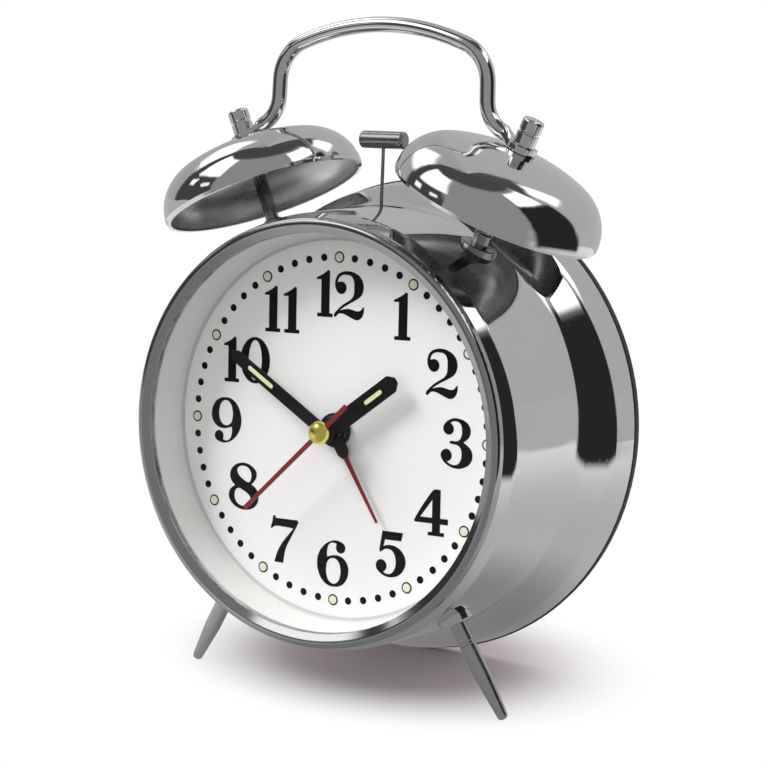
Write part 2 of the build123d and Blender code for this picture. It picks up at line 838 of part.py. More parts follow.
def make_movement_tray():
    tray = plate(tray_outline(0), tray_back_z, frame_back_z)
    tray -= plate(tray_outline(tray_wall), tray_back_z, frame_back_z - tray_floor)
    for x, y in tray_column_spots():
        tray += Pos(x, y, 0) * rod(tray_column_radius, middle_front_z, frame_back_z - tray_floor)
    tray = drilled(
        tray, tray_screw_radius, tray_column_spots(), middle_front_z, middle_front_z + tray_screw_grip)
    tray += rod(bushing_radius, frame_back_z - tray_floor, dial_nut_height)
    tray -= rod(alarm_pipe_outer + run_gap, tray_back_z, dial_nut_height)
    tray = drilled(tray, arbor_radius + run_gap, (motion_spot, alarm_spot), tray_back_z, frame_back_z)
    return drilled(tray, train_arbor_radius + run_gap, (third_spot,), tray_back_z, frame_back_z)


def make_middle_plate():
    middle = plate(tray_outline(tray_wall + seat_gap), middle_back_z, middle_front_z)
    middle = drilled(
        middle, tray_screw_radius + seat_gap, tray_column_spots(), middle_back_z, middle_front_z)
    large = (motion_spot, alarm_spot)
    middle = drilled(middle, arbor_radius + run_gap, large, middle_back_z, middle_front_z)
    small = (third_spot, intermediate_spot, rotor_spot)
    middle = drilled(middle, train_arbor_radius + run_gap, small, middle_back_z, middle_front_z)
    return middle - rod(seconds_arbor_radius + run_gap, middle_back_z, middle_front_z)


def make_movement_lid():
    lid = plate(tray_outline(0), lid_back_z, tray_back_z)
    for x, y in tray_column_spots():
        lid += Pos(x, y, 0) * rod(tray_column_radius, tray_back_z, middle_back_z)
    lid = drilled(lid, tray_screw_radius + seat_gap, tray_column_spots(), lid_back_z, middle_back_z)
    lid = drilled(lid, arbor_radius + run_gap, (motion_spot, alarm_spot), lid_back_z, tray_back_z)
    small = (third_spot, intermediate_spot, rotor_spot)
    lid = drilled(lid, train_arbor_radius + run_gap, small, lid_back_z, tray_back_z)
    return lid - rod(seconds_arbor_radius + run_gap, lid_back_z, tray_back_z)


def make_movement_screws():
    length = middle_front_z + tray_screw_grip - lid_back_z
    size = (length, tray_screw_radius, tray_screw_head_radius, tray_screw_head_height)
    return [screw(x, y, lid_back_z, *size) for x, y in tray_column_spots()]


def make_dial_nut():
    return tube(dial_nut_radius, bushing_radius + press_gap, 0, dial_nut_height)


def train_arbor(front):
    return rod(train_arbor_radius, tray_back_z - pivot_engagement, front)


def make_rotor_pinion():
    module = module_of(rotor_distance, intermediate_teeth, rotor_leaves)
    turn = meshing_turn(0, intermediate_teeth, rotor_leaves, 90)
    leaves = pinion(rotor_leaves, module, turn, rotor_level)
    return Pos(*rotor_spot) * (leaves + train_arbor(middle_front_z))


def magnet_span():
    front = level(rotor_level, leaf_thickness)[1] + magnet_length
    return front - magnet_length, front


def make_rotor_magnet():
    return Pos(*rotor_spot) * tube(magnet_radius, train_arbor_radius + press_gap, *magnet_span())


def make_intermediate_wheel():
    wheel_module = module_of(rotor_distance, intermediate_teeth, rotor_leaves)
    leaf_module = module_of(intermediate_distance, seconds_teeth, intermediate_leaves)
    turn = meshing_turn(0, seconds_teeth, intermediate_leaves, 90)
    solid = wheel(intermediate_teeth, wheel_module, 0, rotor_level)
    solid += pinion(intermediate_leaves, leaf_module, turn, seconds_level)
    return Pos(*intermediate_spot) * (solid + train_arbor(middle_front_z))


def make_seconds_wheel():
    wheel_module = module_of(intermediate_distance, seconds_teeth, intermediate_leaves)
    leaf_module = module_of(third_distance, third_teeth, seconds_leaves)
    solid = wheel(seconds_teeth, wheel_module, 0, seconds_level)
    solid += pinion(seconds_leaves, leaf_module, 0, third_level)
    arbor_front = second_hand_height + hand_thickness / 2
    return solid + rod(seconds_arbor_radius, tray_back_z - pivot_engagement, arbor_front)


def make_third_wheel():
    wheel_module = module_of(third_distance, third_teeth, seconds_leaves)
    leaf_module = module_of(third_distance, centre_teeth, third_leaves)
    turn = meshing_turn(0, seconds_leaves, third_teeth, -90)
    solid = wheel(third_teeth, wheel_module, turn, third_level)
    solid += pinion(third_leaves, leaf_module, 0, centre_level)
    return Pos(*third_spot) * (solid + train_arbor(frame_back_z - tray_floor + pivot_engagement))


def make_centre_wheel():
    module = module_of(third_distance, centre_teeth, third_leaves)
    turn = meshing_turn(0, third_leaves, centre_teeth, 90)
    solid = wheel(centre_teeth, module, turn, centre_level)
    return solid - rod(minute_pipe_outer + run_gap, tray_back_z, frame_back_z)


def make_minute_pinion():
    module = module_of(motion_distance, motion_teeth, minute_leaves)
    pipe_back = middle_front_z + run_gap
    solid = pinion(minute_leaves, module, 0, minute_level)
    solid += rod(minute_pipe_outer, pipe_back, minute_hand_height + hand_thickness + hub_proud)
    return solid - rod(minute_pipe_inner, tray_back_z, lens_height)


def make_motion_wheel():
    wheel_module = module_of(motion_distance, motion_teeth, minute_leaves)
    leaf_module = module_of(motion_distance, hour_teeth, motion_leaves)
    turn = meshing_turn(0, minute_leaves, motion_teeth, 0)
    solid = wheel(motion_teeth, wheel_module, turn, minute_level)
    solid += pinion(motion_leaves, leaf_module, 0, hour_level)
    front = frame_back_z - tray_floor + pivot_engagement
    return Pos(*motion_spot) * (solid + rod(arbor_radius, lid_back_z - arbor_tail, front))


def make_hour_wheel():
    module = module_of(motion_distance, hour_teeth, motion_leaves)
    turn = meshing_turn(0, motion_leaves, hour_teeth, 180)
    back = level(hour_level, wheel_thickness)[0]
    solid = wheel(hour_teeth, module, turn, hour_level)
    solid += rod(hour_pipe_outer, back, hour_hand_height + hand_thickness + hub_proud)
    return solid - rod(hour_pipe_inner, tray_back_z, lens_height)


def make_alarm_wheel():
    module = module_of(alarm_distance, alarm_teeth, alarm_leaves)
    turn = meshing_turn(0, alarm_leaves, alarm_teeth, 0)
    back = level(alarm_level, wheel_thickness)[0]
    solid = wheel(alarm_teeth, module, turn, alarm_level)
    solid += rod(alarm_pipe_outer, back, alarm_hand_height + hand_thickness + hub_proud)
    return solid - rod(alarm_pipe_inner, tray_back_z, lens_height)


def make_alarm_pinion():
    module = module_of(alarm_distance, alarm_teeth, alarm_leaves)
    front = frame_back_z - tray_floor + pivot_engagement
    solid = pinion(alarm_leaves, module, 0, alarm_level)
    return Pos(*alarm_spot) * (solid + rod(arbor_radius, lid_back_z - arbor_tail, front))


def stator_span():
    middle = sum(magnet_span()) / 2
    return middle - stator_thickness / 2, middle + stator_thickness / 2


def make_stator():
    """Soft-iron plate with the rotor's hole and two legs that carry the coil's core."""
    x, y = rotor_spot
    hole = magnet_radius + stator_gap
    bottom = y - hole - stator_margin
    top = y + hole + stator_margin
    core_top = y + coil_rise + stator_leg_width / 3
    core_bottom = y + coil_rise - stator_leg_width / 3
    wide = stator_half_width
    inner = wide - stator_leg_width
    outline = Polyline(
        (-wide, bottom), (wide, bottom), (wide, core_top), (-wide, core_top), close=True)
    window = Polyline((-inner, top), (inner, top), (inner, core_bottom), (-inner, core_bottom), close=True)
    face = make_face(outline) - make_face(window) - Pos(x, y) * Circle(hole)
    return plate(face, *stator_span())


def make_step_coil():
    x, y = rotor_spot[0], rotor_spot[1] + coil_rise
    back, front = stator_span()
    middle = (back + front) / 2
    winding = Box(coil_length, coil_height, coil_depth)
    winding = fillet(winding.edges().filter_by(Axis.X), coil_depth / 4)
    half = stator_leg_width / 3
    core = block(-coil_length, coil_length, -half, half, 0, stator_thickness)
    return Pos(x, y, middle) * winding - Pos(x, y, back) * core


def make_circuit_board():
    left = -tray_half_width + tray_wall + board_edge_gap
    y = (tray_top + tray_bottom) / 2
    back = middle_back_z - board_thickness
    half = board_length / 2
    board = block(left, left + board_width, y - half, y + half, back, middle_back_z)
    chip = turned(
        (0, 0, 0),
        (chip_radius, 0, 0),
        (chip_radius, -chip_height, chip_height / 2),
        (0, -chip_height, 0),
    )
    return board + Pos(left + board_width / 2, y - board_length / 5, back) * chip


def make_crystal():
    can = rod(crystal_radius, 0, crystal_length)
    left = -tray_half_width + tray_wall + board_edge_gap + board_width / 2
    y = (tray_top + tray_bottom) / 2 + board_length / 8
    z = middle_back_z - board_thickness - crystal_radius
    return Plane(origin=(left, y, z), x_dir=(1, 0, 0), z_dir=(0, 1, 0)).location * can


# Hands


def pointed_bar(width, reach, hub, root=0.0):
    """Flat hand pointing up along Y: a bar with a bevelled point on a round hub."""
    half = width / 2
    bar = Polyline(
        (-half, root), (half, root), (half, reach - hand_point), (half / 3, reach),
        (-half / 3, reach), (-half, reach - hand_point), close=True)
    return make_face(bar) + Circle(hub)


def placed_hand(outline, hole, height, clock_angle):
    solid = plate(outline - Circle(hole + press_gap), height, height + hand_thickness)
    return Rot(0, 0, dial_turn - clock_angle) * solid


def lume_bar(start, end, margin):
    return Pos(0, (start + end) / 2) * Rectangle(lume_width + 2 * margin, end - start + 2 * margin)


def make_hour_hand():
    outline = pointed_bar(hour_hand_width, hour_hand_reach, hour_hand_hub)
    outline -= lume_bar(hour_lume_from, hour_lume_to, press_gap)
    return placed_hand(outline, hour_pipe_outer, hour_hand_height, hour_hand_angle)


def make_minute_hand():
    outline = pointed_bar(minute_hand_width, minute_hand_reach, minute_hand_hub)
    outline -= lume_bar(minute_lume_from, minute_lume_to, press_gap)
    return placed_hand(outline, minute_pipe_outer, minute_hand_height, minute_hand_angle)


def make_lume(start, end, height, clock_angle):
    bar = plate(lume_bar(start, end, 0), height, height + hand_thickness)
    return Rot(0, 0, dial_turn - clock_angle) * bar


def make_second_hand():
    half = second_hand_width / 2
    bar = Polyline(
        (-half, -second_hand_tail), (half, -second_hand_tail), (half / 2, second_hand_reach),
        (-half / 2, second_hand_reach), close=True)
    outline = make_face(bar) + Circle(second_hand_hub)
    return placed_hand(outline, seconds_arbor_radius, second_hand_height, second_hand_angle)


def make_alarm_hand():
    half = alarm_hand_width / 2
    wide = alarm_hand_root_width / 2
    bar = Polyline(
        (-wide, 0), (wide, 0), (wide, alarm_hand_root - wide), (half, alarm_hand_root),
        (half / 2, alarm_hand_reach), (-half / 2, alarm_hand_reach), (-half, alarm_hand_root),
        (-wide, alarm_hand_root - wide), close=True)
    outline = make_face(bar) + Circle(alarm_hand_hub)
    return placed_hand(outline, alarm_pipe_outer, alarm_hand_height, alarm_hand_angle)


def make_hand_cap():
    base = second_hand_height + hand_thickness
    return turned(
        (0, base, 0),
        (hand_cap_radius, base, edge_round),
        (hand_cap_radius, base + hand_cap_height, hand_cap_round),
        (0, base + hand_cap_height, 0),
    )


# Knobs and switch


def make_knob(spot):
    """Fluted knob whose long stem reaches in to the arbor that it turns."""
    head_front = cover_rear_z - knob_standoff
    head_back = head_front - knob_height
    head = turned(
        (0, head_front, 0),
        (knob_radius, head_front, knob_chamfer),
        (knob_radius, head_back, knob_chamfer),
        (0, head_back, 0),
    )
    for spoke in PolarLocations(knob_radius + knob_flute_radius / 3, knob_flute_count):
        head -= spoke * rod(knob_flute_radius, head_back, head_front)
    stem_front = lid_back_z - slide_gap
    knob = head + rod(knob_stem_radius, head_front, stem_front)
    knob -= rod(arbor_radius + press_gap, lid_back_z - arbor_tail, stem_front)
    return Pos(*spot) * knob


def switch_stem(back, front):
    half = switch_stem_width / 2
    rise = switch_stem_height / 2
    return block(-half, half, -rise, rise, back, front)


def make_alarm_switch():
    left = -switch_travel / 2
    top = cover_rear_z - slide_gap
    half = switch_width / 2
    rise = switch_height / 2
    button = block(-half, half, -rise, rise, top - switch_button, top)
    for rib in range(switch_rib_count):
        x = (rib - (switch_rib_count - 1) / 2) * 3 * switch_rib_width
        button -= block(
            x - switch_rib_width / 2, x + switch_rib_width / 2, -rise, rise,
            top - switch_button, top - switch_button + switch_rib_width)
    stem = switch_stem(top, case_rear_z + slide_gap + switch_keeper_thickness)
    return Pos(left, switch_y, 0) * (button + stem)


def make_switch_keeper():
    """Plate clipped on the switch's stem inside the cover, which keeps it in its slot."""
    half = switch_stem_width / 2 + switch_travel + switch_keeper_margin
    rise = switch_stem_height / 2 + switch_keeper_margin
    back = case_rear_z + slide_gap
    front = back + switch_keeper_thickness
    keeper = block(-half, half, -rise, rise, back, front)
    keeper -= switch_stem(back, front)
    return Pos(-switch_travel / 2, switch_y, 0) * keeper


# Ringer


def ringer_plate_front():
    clear = max(rocker_hub_length / 2, ringer_coil_radius) + slide_gap
    return hammer_z + clear + ringer_plate_thickness


def make_ringer_plate():
    front = ringer_plate_front()
    back = front - ringer_plate_thickness
    wide = ringer_plate_half_width
    bottom = hammer_pivot_y - ringer_plate_drop
    top = hammer_pivot_y + ringer_plate_rise
    ear = pillar_radius
    outline = make_face(Polyline(
        (-wide, bottom), (wide, bottom), (wide, top - 2 * ear), (wide - 2 * ear, top),
        (-wide + 2 * ear, top), (-wide, top - 2 * ear), close=True))
    solid = plate(outline, back, front)
    solid = drilled(solid, tray_screw_radius + seat_gap, pillar_spots, back, front)
    return solid - Pos(0, hammer_pivot_y, 0) * rod(pivot_pin_radius, back, front)


def make_ringer_screws():
    back = ringer_plate_front() - ringer_plate_thickness
    length = ringer_screw_length + ringer_plate_thickness - seat_gap
    size = (length, tray_screw_radius, tray_screw_head_radius, tray_screw_head_height)
    return [screw(x, y, back, *size) for x, y in pillar_spots]


def make_pivot_pin():
    front = ringer_plate_front()
    end = hammer_z - rocker_hub_length / 2 - slide_gap
    pin = rod(pivot_pin_radius, end, front) + rod(pivot_pin_head, end - pivot_pin_head_height, end)
    return Pos(0, hammer_pivot_y, 0) * pin


def upright_rod(x, radius, bottom, top):
    """Round bar along Y in the striker's plane."""
    place = Plane(origin=(x, bottom, hammer_z), x_dir=(1, 0, 0), z_dir=(0, 1, 0)).location
    return place * rod(radius, 0, top - bottom)


def yoke_top():
    return hammer_pivot_y - ringer_plate_drop + yoke_thickness


def make_ringer_yoke():
    """Iron base with the two coil cores standing on it."""
    half = core_spread + yoke_overhang
    bottom = hammer_pivot_y - ringer_plate_drop
    plate_back = ringer_plate_front() - ringer_plate_thickness
    yoke = block(-half, half, bottom, yoke_top(), hammer_z - rocker_depth / 2, plate_back)
    for side in SIDES.values():
        yoke += upright_rod(side * core_spread, core_radius, bottom, hammer_pivot_y - core_drop)
    return yoke


def make_ringer_coils():
    bottom = yoke_top()
    top = hammer_pivot_y - core_drop - ringer_coil_end_gap
    coils = []
    for side in SIDES.values():
        x = side * core_spread
        bore = upright_rod(x, core_radius + seat_gap, bottom, top)
        coils.append(upright_rod(x, ringer_coil_radius, bottom, top) - bore)
    return coils


def make_rocker():
    """Soft-iron bar that rocks on the pin and carries the striker's rod."""
    bar = block(
        -rocker_half_length, rocker_half_length, -rocker_height / 2, rocker_height / 2,
        hammer_z - rocker_depth / 2, hammer_z + rocker_depth / 2)
    half = rocker_hub_length / 2
    bar += rod(rocker_hub_radius, hammer_z - half, hammer_z + half)
    bar -= rod(pivot_pin_radius + run_gap, hammer_z - half, hammer_z + half)
    top = hammer_pivot_y + rocker_hub_radius
    bar = Pos(0, hammer_pivot_y, 0) * bar
    return bar - upright_rod(0, hammer_rod_radius, top - hammer_rod_grip / 2, top)


def make_hammer_rod():
    bottom = hammer_pivot_y + rocker_hub_radius - hammer_rod_grip / 2
    return upright_rod(0, hammer_rod_radius, bottom, hammer_head_y - hammer_head_radius + hammer_rod_grip)


def make_hammer_head():
    bar = rod(hammer_head_radius, -hammer_head_length / 2, hammer_head_length / 2)
    bar = fillet(bar.edges().filter_by(GeomType.CIRCLE), hammer_head_round)
    across = Plane(origin=(0, hammer_head_y, hammer_z), x_dir=(0, 1, 0), z_dir=(1, 0, 0)).location
    foot = hammer_head_y - hammer_head_radius
    return across * bar - upright_rod(0, hammer_rod_radius, hammer_pivot_y, foot + hammer_rod_grip)


nodes = {
    "case_drum": make_case_drum(),
    "front_bezel": make_front_bezel(),
    "front_lens": make_lens(),
    "dial_surround": make_dial_surround(),
    "dial": make_dial(),
    "dial_nut": make_dial_nut(),
    "inner_frame": make_inner_frame(),
    "back_cover": make_back_cover(),
    "back_screws": make_back_screws(),
    "battery_door": make_battery_door(),
    "battery": make_battery(),
    "contact_plus": make_contact_plus(),
    "contact_minus": make_contact_minus(),
    "bell_cap_nuts": make_cap_nuts(),
    "carry_handle": make_handle(),
    "foot_collars": make_foot_collars(),
    "movement_tray": make_movement_tray(),
    "movement_middle_plate": make_middle_plate(),
    "movement_lid": make_movement_lid(),
    "movement_screws": make_movement_screws(),
    "circuit_board": make_circuit_board(),
    "quartz_crystal": make_crystal(),
    "step_stator": make_stator(),
    "step_coil": make_step_coil(),
    "rotor_magnet": make_rotor_magnet(),
    "rotor_pinion": make_rotor_pinion(),
    "intermediate_wheel": make_intermediate_wheel(),
    "seconds_wheel": make_seconds_wheel(),
    "third_wheel": make_third_wheel(),
    "centre_wheel": make_centre_wheel(),
    "minute_pinion": make_minute_pinion(),
    "motion_wheel": make_motion_wheel(),
    "hour_wheel": make_hour_wheel(),
    "alarm_wheel": make_alarm_wheel(),
    "alarm_pinion": make_alarm_pinion(),
    "alarm_hand": make_alarm_hand(),
    "hour_hand": make_hour_hand(),
    "minute_hand": make_minute_hand(),
    "second_hand": make_second_hand(),
    "hand_cap": make_hand_cap(),
    "hour_hand_lume": make_lume(hour_lume_from, hour_lume_to, hour_hand_height, hour_hand_angle),
    "minute_hand_lume": make_lume(minute_lume_from, minute_lume_to, minute_hand_height, minute_hand_angle),
    "time_knob": make_knob(motion_spot),
    "alarm_knob": make_knob(alarm_spot),
    "alarm_switch": make_alarm_switch(),
    "switch_keeper": make_switch_keeper(),
    "ringer_plate": make_ringer_plate(),
    "ringer_screws": make_ringer_screws(),
    "ringer_yoke": make_ringer_yoke(),
    "ringer_coils": make_ringer_coils(),
    "hammer_pivot_pin": make_pivot_pin(),
    "hammer_rocker": make_rocker(),
    "hammer_rod": make_hammer_rod(),
    "hammer_head": make_hammer_head(),
}
for name, side in SIDES.items():
    nodes[f"bell_{name}"] = make_bell(side)
    nodes[f"bell_post_{name}"] = make_bell_post(side)
    nodes[f"foot_{name}"] = make_foot(side)

# Lean at which the foot tips and the cover's rounded edge touch one floor
tip = on_case(180 - foot_angle, 1, foot_z) + direction(180 - foot_splay, 1, foot_rake) * foot_length
ahead = tip.Z - (cover_rear_z + cover_lip_round)
below = tip.Y + (cover_lip_radius - cover_lip_round)
lean = math.degrees(
    math.asin((foot_tip_radius - cover_lip_round) / math.hypot(ahead, below)) - math.atan2(below, ahead))

upright = Rot(90 - lean, 0, 0)
solids = {}
for name, part in nodes.items():
    solids[name] = upright * (Compound(part) if isinstance(part, list) else part)
boxes = [part.bounding_box() for part in solids.values()]
front = min(box.min.Y for box in boxes)
rear = max(box.max.Y for box in boxes)
floor = min(box.min.Z for box in boxes)
top = max(box.max.Z for box in boxes)
width = 2 * max(box.max.X for box in boxes)
ground = Pos(0, -(front + rear) / 2, -floor)
for name, part in solids.items():
    export_step(ground * part, f"parts/{name}.step")
print(f"lean {lean:.4f} degrees, dial centre at y {-(front + rear) / 2:.4f} z {-floor:.4f}")
print(f"size {width:.2f} x {rear - front:.2f} x {top - floor:.2f} mm, {len(solids)} nodes")
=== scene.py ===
# %% [markdown]
# # Dressing a twin-bell alarm clock
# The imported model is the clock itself: a chromed drum on two stub feet, two bells under a carrying handle,
# a striker between them, and a dial with four hands. This lesson loads it, sets up the studio and the camera,
# prints the dial and gives every piece its finish. Every length in the scene is in metres.

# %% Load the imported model
import json
import math

import bpy
from mathutils import Matrix, Vector


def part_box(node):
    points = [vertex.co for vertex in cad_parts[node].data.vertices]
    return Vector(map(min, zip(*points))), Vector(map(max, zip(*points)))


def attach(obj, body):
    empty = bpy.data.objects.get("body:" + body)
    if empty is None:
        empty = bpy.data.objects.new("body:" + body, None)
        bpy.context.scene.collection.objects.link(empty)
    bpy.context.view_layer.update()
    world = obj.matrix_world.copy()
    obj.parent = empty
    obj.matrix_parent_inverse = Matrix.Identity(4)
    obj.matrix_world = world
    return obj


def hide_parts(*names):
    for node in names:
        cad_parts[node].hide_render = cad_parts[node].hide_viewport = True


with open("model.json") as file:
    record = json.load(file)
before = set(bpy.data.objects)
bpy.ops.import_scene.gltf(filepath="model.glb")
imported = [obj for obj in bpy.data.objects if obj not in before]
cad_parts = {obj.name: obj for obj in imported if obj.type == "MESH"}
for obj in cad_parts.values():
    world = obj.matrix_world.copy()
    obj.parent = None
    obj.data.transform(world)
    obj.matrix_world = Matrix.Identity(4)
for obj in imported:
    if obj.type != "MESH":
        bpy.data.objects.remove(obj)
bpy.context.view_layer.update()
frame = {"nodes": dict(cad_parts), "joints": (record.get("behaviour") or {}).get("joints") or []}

nodes = frame["nodes"]
scene = bpy.context.scene
scene.view_settings.view_transform = "Standard"
bpy.ops.object.select_all(action="DESELECT")

# %% [markdown]
# The dial leans back a little with the drum. The minute hand's joint runs through its middle and square to
# it, so the joint and the dial's front face give the matrix that stands dial drawings, in millimetres, on it.

# %% Where the dial is
MM = 0.001
minute_joint = next(joint for joint in frame["joints"] if joint["name"] == "minute_turn")
outward = Vector(minute_joint["axis"]).normalized()
outward = outward if outward.y < 0 else -outward
rightward = Vector((1, 0, 0))
upward = outward.cross(rightward)
face_reach = max(outward.dot(corner.co) for corner in nodes["dial"].data.vertices)
hub = Vector(minute_joint["pos_m"])
hub += outward * (face_reach - outward.dot(hub))
dial_place = Matrix((rightward, upward, outward)).transposed().to_4x4()
dial_place.translation = hub
dial_place = dial_place @ Matrix.Scale(MM, 4)
print("dial centre", [round(value, 5) for value in hub], "outward", [round(value, 4) for value in outward])

# %% [markdown]
# The camera stands in front of the clock, to its right and a little above it. A long lens from half a metre
# keeps the drum's two rims nearly parallel. Its three axes are written out, because the camera is rolled.

# %% Camera
CAMERA_SPOT = Vector((0.26467, -0.41141, 0.19016))
CAMERA_RIGHT = Vector((0.8490, 0.5271, -0.0373)).normalized()
CAMERA_BACK = Vector((0.5202, -0.8213, 0.2342)).normalized()
CAMERA_LENS = 97.165
CAMERA_SENSOR = 36
CAMERA_NEAR = 0.01
camera_up = CAMERA_BACK.cross(CAMERA_RIGHT).normalized()
turn = Matrix((camera_up.cross(CAMERA_BACK), camera_up, CAMERA_BACK)).transposed().to_4x4()
bpy.ops.object.camera_add()
camera = bpy.context.object
camera.name = "camera"
camera.matrix_world = Matrix.Translation(CAMERA_SPOT) @ turn
camera.data.lens = CAMERA_LENS
camera.data.sensor_width = CAMERA_SENSOR
camera.data.clip_start = CAMERA_NEAR
scene.camera = camera
print("camera at", list(CAMERA_SPOT))

# %% [markdown]
# A shader is a net of small nodes. Written out one by one it is long, so one class wraps a socket and takes
# part in sums: `1 - grain * 0.3` adds the Math nodes. Every other node comes from its `node` method.


# %% Shader sums
class Shade:
    """An output socket that can stand in a sum, as a number does."""

    def __init__(self, tree, socket):
        self.tree = tree
        self.socket = socket

    def node(self, kind, settings, values, out=0):
        """Adds a node: its settings first, then its sockets' values or links; gives one of its outputs."""
        made = self.tree.nodes.new(kind)
        for name, value in settings.items():
            setattr(made, name, value)
        for name, value in values.items():
            if isinstance(value, Shade):
                self.tree.links.new(value.socket, made.inputs[name])
            else:
                made.inputs[name].default_value = value
        return Shade(self.tree, made.outputs[out]) if made.outputs else None

    def math(self, operation, first, second=0.0, third=0.0):
        return self.node("ShaderNodeMath", {"operation": operation}, {0: first, 1: second, 2: third})

    def __add__(self, other):
        return self.math("ADD", self, other)

    def __radd__(self, other):
        return self.math("ADD", other, self)

    def __sub__(self, other):
        return self.math("SUBTRACT", self, other)

    def __rsub__(self, other):
        return self.math("SUBTRACT", other, self)

    def __mul__(self, other):
        return self.math("MULTIPLY", self, other)

    def __rmul__(self, other):
        return self.math("MULTIPLY", other, self)

    def __abs__(self):
        return self.math("ABSOLUTE", self)

    def ease(self, start, end):
        """0 before start, 1 after end, smooth between; start may be the larger."""
        settings = {"interpolation_type": "SMOOTHSTEP"}
        return self.node("ShaderNodeMapRange", settings, {"Value": self, 1: start, 2: end})

    def between(self, low, high):
        """Two colours, mixed by this value."""
        settings = {"data_type": "RGBA", "clamp_factor": True}
        return self.node("ShaderNodeMix", settings, {0: self, 6: low, 7: high}, 2)

    def dot(self, direction):
        settings = {"operation": "DOT_PRODUCT"}
        return self.node("ShaderNodeVectorMath", settings, {0: self, 1: direction}, "Value")

    def minus(self, place):
        return self.node("ShaderNodeVectorMath", {"operation": "SUBTRACT"}, {0: self, 1: place})

    def distance(self, place):
        return self.node("ShaderNodeVectorMath", {"operation": "DISTANCE"}, {0: self, 1: place}, "Value")

    def noise(self, size, detail=2.0, rough=0.5):
        """Noise whose lumps are about `size` metres across."""
        values = {"Vector": self, "Scale": 1 / size, "Detail": detail, "Roughness": rough}
        return self.node("ShaderNodeTexNoise", {}, values)

    def bump(self, height, distance, strength=1.0):
        values = {"Strength": strength, "Distance": distance, "Height": height}
        return self.node("ShaderNodeBump", {}, values)


def grey(level):
    return (level, level, level, 1.0)


def start_tree(owner, source, out):
    owner.use_nodes = True
    owner.node_tree.nodes.clear()
    made = owner.node_tree.nodes.new(source)
    return Shade(owner.node_tree, made.outputs[out])


print("shader sums ready")

# %% [markdown]
# Chrome shows its room more than itself. Polished metal sees a mid-grey room in front of the clock, a paler
# wall behind it, dark screens on both sides and overhead, and a few white soft boxes. The world draws those
# by direction, in degrees around the clock and up. Matt surfaces get a soft fill, paler from above than from
# below, and the camera sees white.

# %% World
TOWARD_CAMERA = Vector((0.535, -0.845, 0.0))
SCREEN_RIGHT = Vector((0.845, 0.535, 0.0))
RAY = "ShaderNodeLightPath"
ROOM_LEVEL = 0.34
SCREEN_BEARING, SCREEN_HALF, SCREEN_LEVEL = 69, 27, 0.025
FILL_BELOW = (0.46, 0.455, 0.45, 1.0)
FILL_ABOVE = (0.80, 0.795, 0.79, 1.0)
world = bpy.data.worlds.new("studio")
scene.world = world
look = start_tree(world, "ShaderNodeTexCoord", "Generated")


def bearing(place):
    """Degrees around the clock, to the right of the camera, of a direction or a place on the table."""
    return place.math("ARCTAN2", place.dot(SCREEN_RIGHT), place.dot(TOWARD_CAMERA)) * (180 / math.pi)


def window(value, low, high, edge):
    """1 between two limits, 0 outside them."""
    return value.ease(low - edge, low + edge) * value.ease(high + edge, high - edge)


def near_bearing(around_deg, middle, half, edge):
    """1 within some degrees of a bearing, all the way round."""
    off = abs(around_deg.math("WRAP", around_deg - middle, 180.0, -180.0))
    return off.ease(half + edge, half - edge)


def ray_kinds(shade):
    """1 for rays from the camera, and 1 for rays from mirrors or through glass."""
    mirror = shade.node(RAY, {}, {}, "Is Glossy Ray") + shade.node(RAY, {}, {}, "Is Transmission Ray")
    return shade.node(RAY, {}, {}, "Is Camera Ray"), mirror


around_deg = bearing(look)
rise_deg = look.math("ARCSINE", look.dot((0, 0, 1))) * (180 / math.pi)
# Each patch: bearing, half width, lowest, highest, softness, level.
PATCHES = [
    (150, 58, -90, 100, 4, 0.54),
    (-148, 36, -90, 80, 5, 0.48),
    (-91, 30, -40, 80, 3, 0.07),
    (0, 108, 63, 100, 3, 0.08),
    (114, 22, 50, 100, 4, 0.09),
    (SCREEN_BEARING, SCREEN_HALF, -20, 39, 2.5, SCREEN_LEVEL),
    (-138, 19, 32, 59, 5, 2.0),
    (-80, 22, 32, 60, 2.5, 2.0),
    (67, 22, 41, 59, 2.0, 2.0),
    (116, 13, 33, 51, 3, 1.9),
    (-99, 5, 18, 25, 1.5, 1.5),
    (-73, 6, 17, 22, 1.5, 1.3),
]
studio = grey(ROOM_LEVEL)
for middle, half, low, high, edge, level in PATCHES:
    patch = near_bearing(around_deg, middle, half, edge) * window(rise_deg, low, high, edge)
    studio = patch.between(studio, grey(level))
camera_ray, mirror_ray = ray_kinds(look)
fill = look.dot((0, 0, 1)).ease(-0.25, 0.25).between(FILL_BELOW, FILL_ABOVE)
seen = mirror_ray.between(fill, studio)
seen = camera_ray.between(seen, grey(1.0))
backdrop = look.node("ShaderNodeBackground", {}, {"Color": seen})
look.node("ShaderNodeOutputWorld", {}, {"Surface": backdrop})
print("world nodes", len(world.node_tree.nodes))
